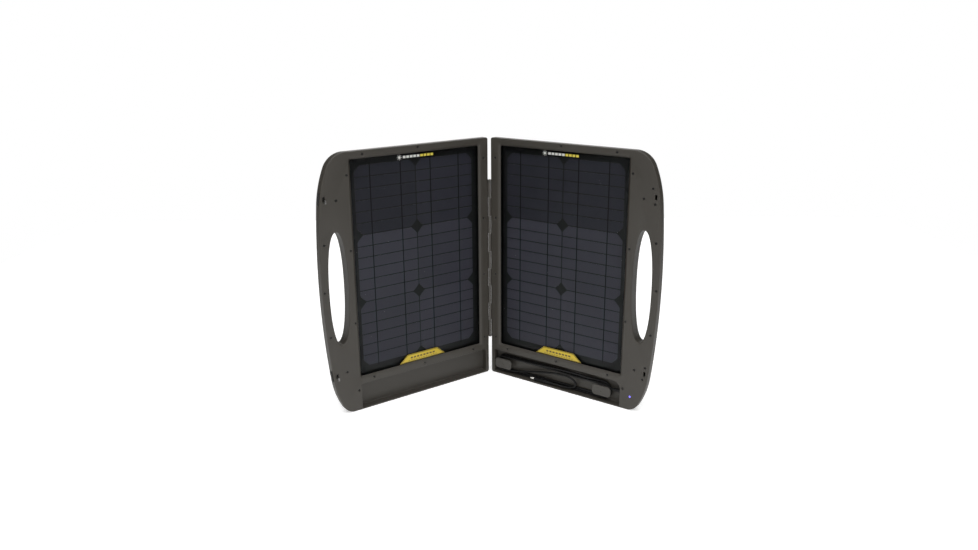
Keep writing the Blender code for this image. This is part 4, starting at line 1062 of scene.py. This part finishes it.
def makePanel(side):
    label = labels[side]
    over = panel["backingOver"]
    outline = roundedBox(window["left"] - over, window["right"] + over, window["low"] - over,
                         window["top"] + over, 1.5, 4)
    sheet = softPrism("sheet", outline, *panel["backing"], 0.05, 1)
    settle(sheet, label + "CellBacking", side, "backFilm", (label + "_cell_sheet",))
    cells = grown(cellField, {"Copy": cellShape(), "Columns": 2, "Rows": 3, "Pitch": panel["pitch"],
                              "Middle": (panel["middle"][0], panel["front"], panel["middle"][1]),
                              "Seed": panel["seed"] + side, "Material": paint["siliconCells"]})
    flatMap(cells)
    settle(cells, label + "Cells", side, "siliconCells", smooth=0)
    ribbons = []
    tall = panel["pitch"] * 2 + panel["cell"] + panel["ribbonOver"]
    for column in (-0.5, 0.5):
        centre = panel["middle"][0] + column * panel["pitch"]
        ribbon = block("ribbon", (-panel["ribbon"] / 2, 0.0, -tall / 2),
                       (panel["ribbon"] / 2, panel["ribbonThick"], tall / 2))
        ribbons.append(inRow(ribbon, 2, (centre - panel["ribbonAt"], panel["front"] - panel["ribbonSits"],
                                         panel["middle"][1]), (panel["ribbonAt"] * 2, 0.0, 0.0), "tinRibbonDarkReflection"))
    settle(joined(ribbons, "ribbons"), label + "Busbars", side, "tinRibbonDarkReflection", smooth=0)


for side in (-1, 1):
    makePanel(side)
print("panels made")

tab = {"base": 102.8, "crown": 71.0, "height": 14.5, "sits": 4.1, "thick": 0.6,
       "rows": ((3.4, 12, 5.6, 3.6, 1.0), (8.0, 8, 7.2, 5.0, 3.4))}


def makeTab(side):
    label = labels[side]
    middle, low = leg["middle"], window["low"] + 1.0
    base, crown = tab["base"] / 2, tab["crown"] / 2
    rounding = arcPoints(crown - 3, tab["height"] - 3, 4, 75, 35, 8)
    outline = [(middle + base, low)] + [(middle + u, low + z) for u, z in reversed(rounding)]
    outline += [(middle - u, low + z) for u, z in rounding] + [(middle - base, low)]
    plate = softPrism("tab", outline, tab["sits"], tab["sits"] + tab["thick"], 0.15, 2)
    settle(plate, label + "YellowTab", side, "tabYellow", (label + "_yellow_tab",))
    rows = [loft("line", [[(u, tab["sits"] - w, z) for u, z in offsetOutline(outline, -grow)] for grow, w in
                          ((0.5, -0.02), (0.5, 0.05), (1.6, 0.05), (1.6, -0.02))], True)]
    for height, count, step, length, tall in tab["rows"]:
        bar = softPrism("bar", roundedBox(-length / 2, length / 2, -tall / 2, tall / 2, 0.3, 3), 0.0, 0.06,
                        0.02, 1)
        rows.append(inRow(bar, count, (middle - step * (count - 1) / 2, tab["sits"] - 0.05, low + height),
                          (step, 0.0, 0.0), "tabPrint"))
    settle(joined(rows, "bars"), label + "TabBars", side, "tabPrint")


mark = {"height": 468.0, "sun": {-1: 198.0, 1: 124.0}, "core": 2.5, "ray": 1.8, "rays": 8, "sits": 4.93,
        "bar": (5.6, 4.4), "barStep": 7.4}


def makeMark(side):  # a plain sun sign and a row of plain bars on the glass
    label = labels[side]
    centreU, centreZ, sits = mark["sun"][side], mark["height"], mark["sits"]
    pieces = [softPrism("core", arcPoints(centreU, centreZ, mark["core"], 0, 350, 35), sits, sits + 0.05,
                        0.01, 1)]
    for index in range(mark["rays"]):
        angle = 2 * math.pi * index / mark["rays"]
        along = Vector((math.cos(angle), math.sin(angle)))
        across = Vector((-along.y, along.x)) * 0.38
        inner, outer = along * (mark["core"] + 0.8), along * (mark["core"] + 0.8 + mark["ray"])
        ray = [inner - across, outer - across, outer + across, inner + across]
        pieces.append(prism("ray", [(centreU + p.x, centreZ + p.y) for p in ray], sits, sits + 0.05))
    step = mark["barStep"] * side
    for count, first, name in ((5, 1, "markPale"), (4, 6, "markYellow")):
        wide, tall = mark["bar"][0] / 2, mark["bar"][1] / 2
        bar = softPrism("bar", roundedBox(-wide, wide, -tall, tall, 0.6, 3), 0.0, 0.05, 0.01, 1)
        row = inRow(bar, count, (centreU + side * 5.0 + step * (first - 0.3), sits, centreZ),
                    (step, 0.0, 0.0), name)
        if name == "markPale":
            pieces.append(row)
        else:
            settle(row, label + "MarkYellow", side, name)
    settle(joined(pieces, "mark"), label + "MarkPale", side, "markPale")


for side in (-1, 1):
    makeTab(side)
    makeMark(side)
print("tabs and marks made")


def screwShape(name, head, headHeight, shank, length):  # a pan head with a cross recess, its face at depth 0
    thing = lathe(name, [(head * 0.62, 0.0), (head * 0.85, 0.06), (head * 0.97, 0.28), (head, 0.55),
                         (head, headHeight), (shank, headHeight), (shank, length - 1.2), (0.25, length)],
                  (0, 0, 0), "w", 24)
    arm, wide = head * 0.62, head * 0.17
    cross = roundPolygon([(wide, wide), (wide, arm), (-wide, arm), (-wide, wide), (-arm, wide), (-arm, -wide),
                          (-wide, -wide), (-wide, -arm), (wide, -arm), (wide, -wide), (arm, -wide),
                          (arm, wide)], 0.02, 1)
    recess = loft("cross", [[(u * grow, w, z * grow) for u, z in cross]
                            for grow, w in ((0.55, 0.95), (1.0, 0.1), (1.0, -0.5))])
    return cleaned(shaped(thing, [recess]), 0.002)


def makeScrews(side):
    label = labels[side]
    sunk = halfCase["face"] + screws["sink"]
    spots = [(u, sunk, z) for u, z in screwSpots(side)]
    screw = screwShape("screw", screws["head"], screws["headHeight"], screws["shank"], screws["length"])
    thing = grown(copiesOnSpots, {"Copy": screw, "Seed": screws["seed"] + side,
                                  "Material": paint["darkScrew"]}, spots)
    settle(thing, label + "CaseScrews", side, "darkScrew",
           tuple(f"{label}_case_screw_{number}" for number in range(1, 5)))
    heads = []
    for height in hingeScrewHeights():
        flat = screwShape("leafScrew", *hinge["screw"])
        flat.data.transform(Matrix.Rotation(math.radians(-90), 4, "Z"))
        flat.data.transform(Matrix.Translation((hinge["leafIn"] - 0.9, leafMiddle(), height)))
        heads.append(flat)
    settle(joined(heads, "leafScrews"), label + "LeafScrews", side, "darkScrew",
           tuple(f"{label}_hinge_screw_{number}" for number in (1, 2)))


def makeHinge(side):
    label = labels[side]
    pitch = (hinge["top"] - hinge["low"]) / hinge["knuckles"]
    first = 0 if side < 0 else 1
    count = len(range(first, hinge["knuckles"], 2))
    length = pitch - hinge["play"]
    low = -length / 2
    radius, bore = hinge["radius"], hinge["pin"] + 0.3
    barrel = lathe("barrel", [(bore, low + 0.1), (bore + 0.1, low), (radius - 0.25, low),
                              (radius, low + 0.25), (radius, -low - 0.25), (radius - 0.25, -low),
                              (bore + 0.1, -low), (bore, -low - 0.1)], (0, 0, 0), "z", 40, True)
    neck = softBlock("neck", (hinge["leafIn"], 0.6, low + 0.1), (radius, 4.2, -low - 0.1), 0.1, 2)
    knuckles = inRow(joined([barrel, neck], "knuckle"), count,
                     (0.0, 0.0, hinge["low"] + pitch * (first + 0.5)), (0.0, 0.0, pitch * 2), "hingePaint")
    plate = softBlock("plate", (hinge["leafIn"], hinge["leafFrom"], hinge["low"]),
                      (hinge["leafOut"], hinge["leafTo"], hinge["top"]), 0.25, 2)
    bores = [lathe("bore", [(2.4, -2.0), (2.4, 0.05), (1.7, 0.75), (1.7, 4.0)],
                   (hinge["leafIn"], leafMiddle(), height), "u", 24) for height in hingeScrewHeights()]
    shaped(plate, [joined(bores, "bores")])
    settle(joined([knuckles, plate], "leaf"), label + "HingeLeaf", side, "hingePaint",
           (label + "_hinge_leaf",))


for side in (-1, 1):
    makeScrews(side)
    makeHinge(side)
pin = lathe("pin", [(0.4, hinge["low"] - 1.5), (0.85, hinge["low"] - 1.3), (1.0, hinge["low"] - 0.9),
                    (1.0, hinge["top"] + 0.9), (0.85, hinge["top"] + 1.3), (0.4, hinge["top"] + 1.5)],
            (0, 0, 0), "z", 24)
settle(pin, "hingePin", -1, "brightSteel", ("hinge_pin",))
print("screws and hinge made")

lever = {"thumb": 22.0, "proud": 1.5, "stand": 0.9, "ribs": 8, "ribStep": 2.3, "hookTip": -6.8,
         "hookReach": -5.0}


def makeLatch(label, height):
    line, near = hookLine(height), halfCase["faceBack"] + 0.3
    body = label + "_latch"
    low, high = height - lever["thumb"] * 0.4, height + lever["thumb"] * 0.6
    carriage = softBlock("carriage", (line - 6.5, near, height - 8), (line + 2.2, near + 5.6, height + 8),
                         0.4)
    pocket = block("pocket", (line - 1.6, near - 1, height - 2.3), (line + 1.6, 8.3, height + 2.3))
    shaped(carriage, [pocket])
    stem = softBlock("stem", (line + 1.7, 4.5, height - 4),
                     (edgeAt(height) + lever["stand"] + 0.7, 7.5, height + 4), 0.2, 2)
    lowU, highU = edgeAt(low) + lever["stand"], edgeAt(high) + lever["stand"]
    proud = lever["proud"]
    outline = [(lowU, low), (lowU + proud * 0.6, low + 0.5), (lowU + proud, low + 1.8)]
    middleU = edgeAt(height + 2.2) + lever["stand"]
    outline += [(middleU + proud * 0.8, height + 2.2), (highU + proud, high - 1.8),
                (highU + proud * 0.6, high - 0.5), (highU, high)]
    thumb = softPrism("thumb", outline, 3.4, 8.6, 0.3, 2)
    rib = softBlock("rib", (-0.35, 3.9, -0.4), (0.25, 8.1, 0.4), 0.15, 2)
    lean = (edgeAt(high - 3) - edgeAt(low + 3)) / (high - low - 6)
    ribs = inRow(rib, lever["ribs"], (edgeAt(low + 3) + lever["stand"] + proud - 0.25, 0.0, low + 3),
                 (lean * lever["ribStep"], 0.0, lever["ribStep"]), "blackPlastic")
    settle(joined([carriage, stem, thumb, ribs], "slider"), label + "LatchSlider", -1, "blackPlastic",
           (label + "_latch_slider",), body=body)
    tip, reach, half = lever["hookTip"], lever["hookReach"], latch["hookWidth"] / 2
    shank = softBlock("shank", (line - half, tip, height - 2), (line + half, 8.0, height + 2), 0.35)
    lip = softBlock("lip", (line - half, tip, height - 4.5), (line + half, reach, height - 0.8), 0.35)
    settle(joined([shank, lip], "hook"), label + "LatchHook", -1, "hookSteel",
           (label + "_latch_hook",), body=body)


spring = {"radius": 2.0, "wire": 0.35, "turns": 5, "length": 11.4, "shift": -2.15, "depth": 6.5, "from": 8.3}


def makeSpring(label, height):  # a coil of wire above the latch, fixed in shape
    rise = spring["length"] - 2 * spring["wire"]
    steps = spring["turns"] * 24
    rings = []
    for step in range(steps + 1):
        angle = 2 * math.pi * step / 24
        out = Vector((math.cos(angle), math.sin(angle), 0))
        along = height + spring["from"] + spring["wire"] + rise * step / steps
        middle = Vector((hookLine(height) + spring["shift"], spring["depth"], along)) + out * spring["radius"]
        ring = []
        for facet in range(10):
            around = 2 * math.pi * facet / 10
            reach = out * math.cos(around) + Vector((0, 0, math.sin(around)))
            ring.append(tuple(middle + reach * spring["wire"]))
        rings.append(ring)
    name = label + "LatchSpring"
    coil = settle(loft(name, rings), name, -1, "brightSteel", (label + "_latch_spring",))
    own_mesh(coil)


for label, height in latch["heights"].items():
    makeLatch(label, height)
    makeSpring(label, height)
print("latches made")


def makeLeg(side):
    label = labels[side]
    body = label + "_kickstand"
    middle, half, back = leg["middle"], leg["width"] / 2, halfCase["back"]
    near, low = back - leg["thick"], leg["pivot"] - leg["length"] + leg["foot"]
    plan = roundPolygon([(middle - half * leg["footShare"], low), (middle + half * leg["footShare"], low),
                         (middle + half, low + 60), (middle + half, leg["pivot"]),
                         (middle - half, leg["pivot"]), (middle - half, low + 60)], 1.5)
    plate = softPrism("leg", plan, near, back, leg["edge"])
    head = lathe("head", [(leg["thick"] / 2 - 0.4, -half), (leg["thick"] / 2, -half + 0.5),
                          (leg["thick"] / 2, half - 0.5), (leg["thick"] / 2 - 0.4, half)],
                 (middle, back - leg["thick"] / 2, leg["pivot"]), "u", 40)
    shaped(plate, [head], "UNION")
    hole = roundedBox(middle - half * leg["holeShare"], middle + half * leg["holeShare"], low + 60,
                      leg["pivot"] - 30, 6.0, 8)
    cuts = [layered("hole", hole, ((0.8, near - 1), (0.8, near), (0.2, near + 0.3), (0.0, near + 0.8),
                                   (0.0, back - 0.8), (0.2, back - 0.3), (0.8, back), (0.8, back + 1))),
            lathe("bore", [(leg["pinRadius"] + 0.3, -half - 2), (leg["pinRadius"] + 0.3, half + 2)],
                  (middle, back - leg["thick"] / 2, leg["pivot"]), "u", 24)]
    for centre in (-0.72, 0.72):
        rail = roundedBox(middle + half * centre - 1.6, middle + half * centre + 1.6, low + 66,
                          leg["pivot"] - 34, 1.5, 6)
        cuts.append(layered("rail", rail, ((-0.8, back - 0.8), (0.0, back + 0.01), (0.0, back + 1))))
    bar = roundedBox(middle - 10.0, middle + 10.0, -1.1, 1.1, 1.0, 5)
    rib = layered("rib", bar, ((-0.5, back - 0.6), (0.0, back + 0.01), (0.0, back + 1)))
    cuts.append(inRow(rib, 7, (0.0, 0.0, low + 14), (0.0, 0.0, 4.2), "legPlastic"))
    shaped(plate, cuts)
    settle(cleaned(plate), label + "Leg", side, "legPlastic", (label + "_leg",), body=body)
    bottom = leg["pivot"] - leg["length"]
    wide = half * leg["footShare"]
    sole = roundedBox(middle - wide, middle + wide, bottom, bottom + leg["foot"] - 0.3, 2.0, 6)
    foot = softPrism("foot", sole, near, back, 0.7)
    tread = softBlock("tread", (-0.5, near - 1, -1), (0.5, back + 1, 1.0), 0.2, 1)
    treads = inRow(tread, 9, (middle - 12.8, 0.0, bottom), (3.2, 0.0, 0.0), "footRubber")
    shaped(foot, [treads])
    settle(cleaned(foot), label + "LegFoot", side, "footRubber", (label + "_leg_foot",), body=body)
    reach = half + leg["play"] + leg["pinReach"] - 0.3
    pin = lathe("pin", [(1.1, -reach), (1.5, -reach + 0.4), (1.5, reach - 0.4), (1.1, reach)],
                (middle, back - leg["thick"] / 2, leg["pivot"]), "u", 24)
    settle(pin, label + "LegPin", side, "brightSteel", (label + "_leg_pin",))


for side in (-1, 1):
    makeLeg(side)
print("legs made")

lens = lathe("lens", [(0.2, 0.62), (0.9, 0.68), (1.5, 0.9), (1.85, 1.25), (2.0, 1.7), (2.0, 7.7)],
             light["place"], "w", 32)
settle(lens, "chargeLight", 1, "lightLens", ("charge_led",))

# Pieces whose shape is right as it comes get their finish here
carried = {"panelGlass": ("panel_glass",), "backFilm": ("backsheet",),
           "sealRubber": ("panel_gasket", "panel_lead"), "blackPlastic": ("junction_box", "junction_lid")}
for finish, names in carried.items():
    for name in names:
        for side in labels.values():
            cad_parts[f"{side}_{name}"].data.materials.clear()
            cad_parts[f"{side}_{name}"].data.materials.append(paint[finish])
for name, finish in (("upper_keeper", "brightSteel"), ("lower_keeper", "brightSteel"),
                     ("charge_board", "boardGreen")):
    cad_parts[name].data.materials.clear()
    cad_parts[name].data.materials.append(paint[finish])
print("finishes laid on the carried pieces")
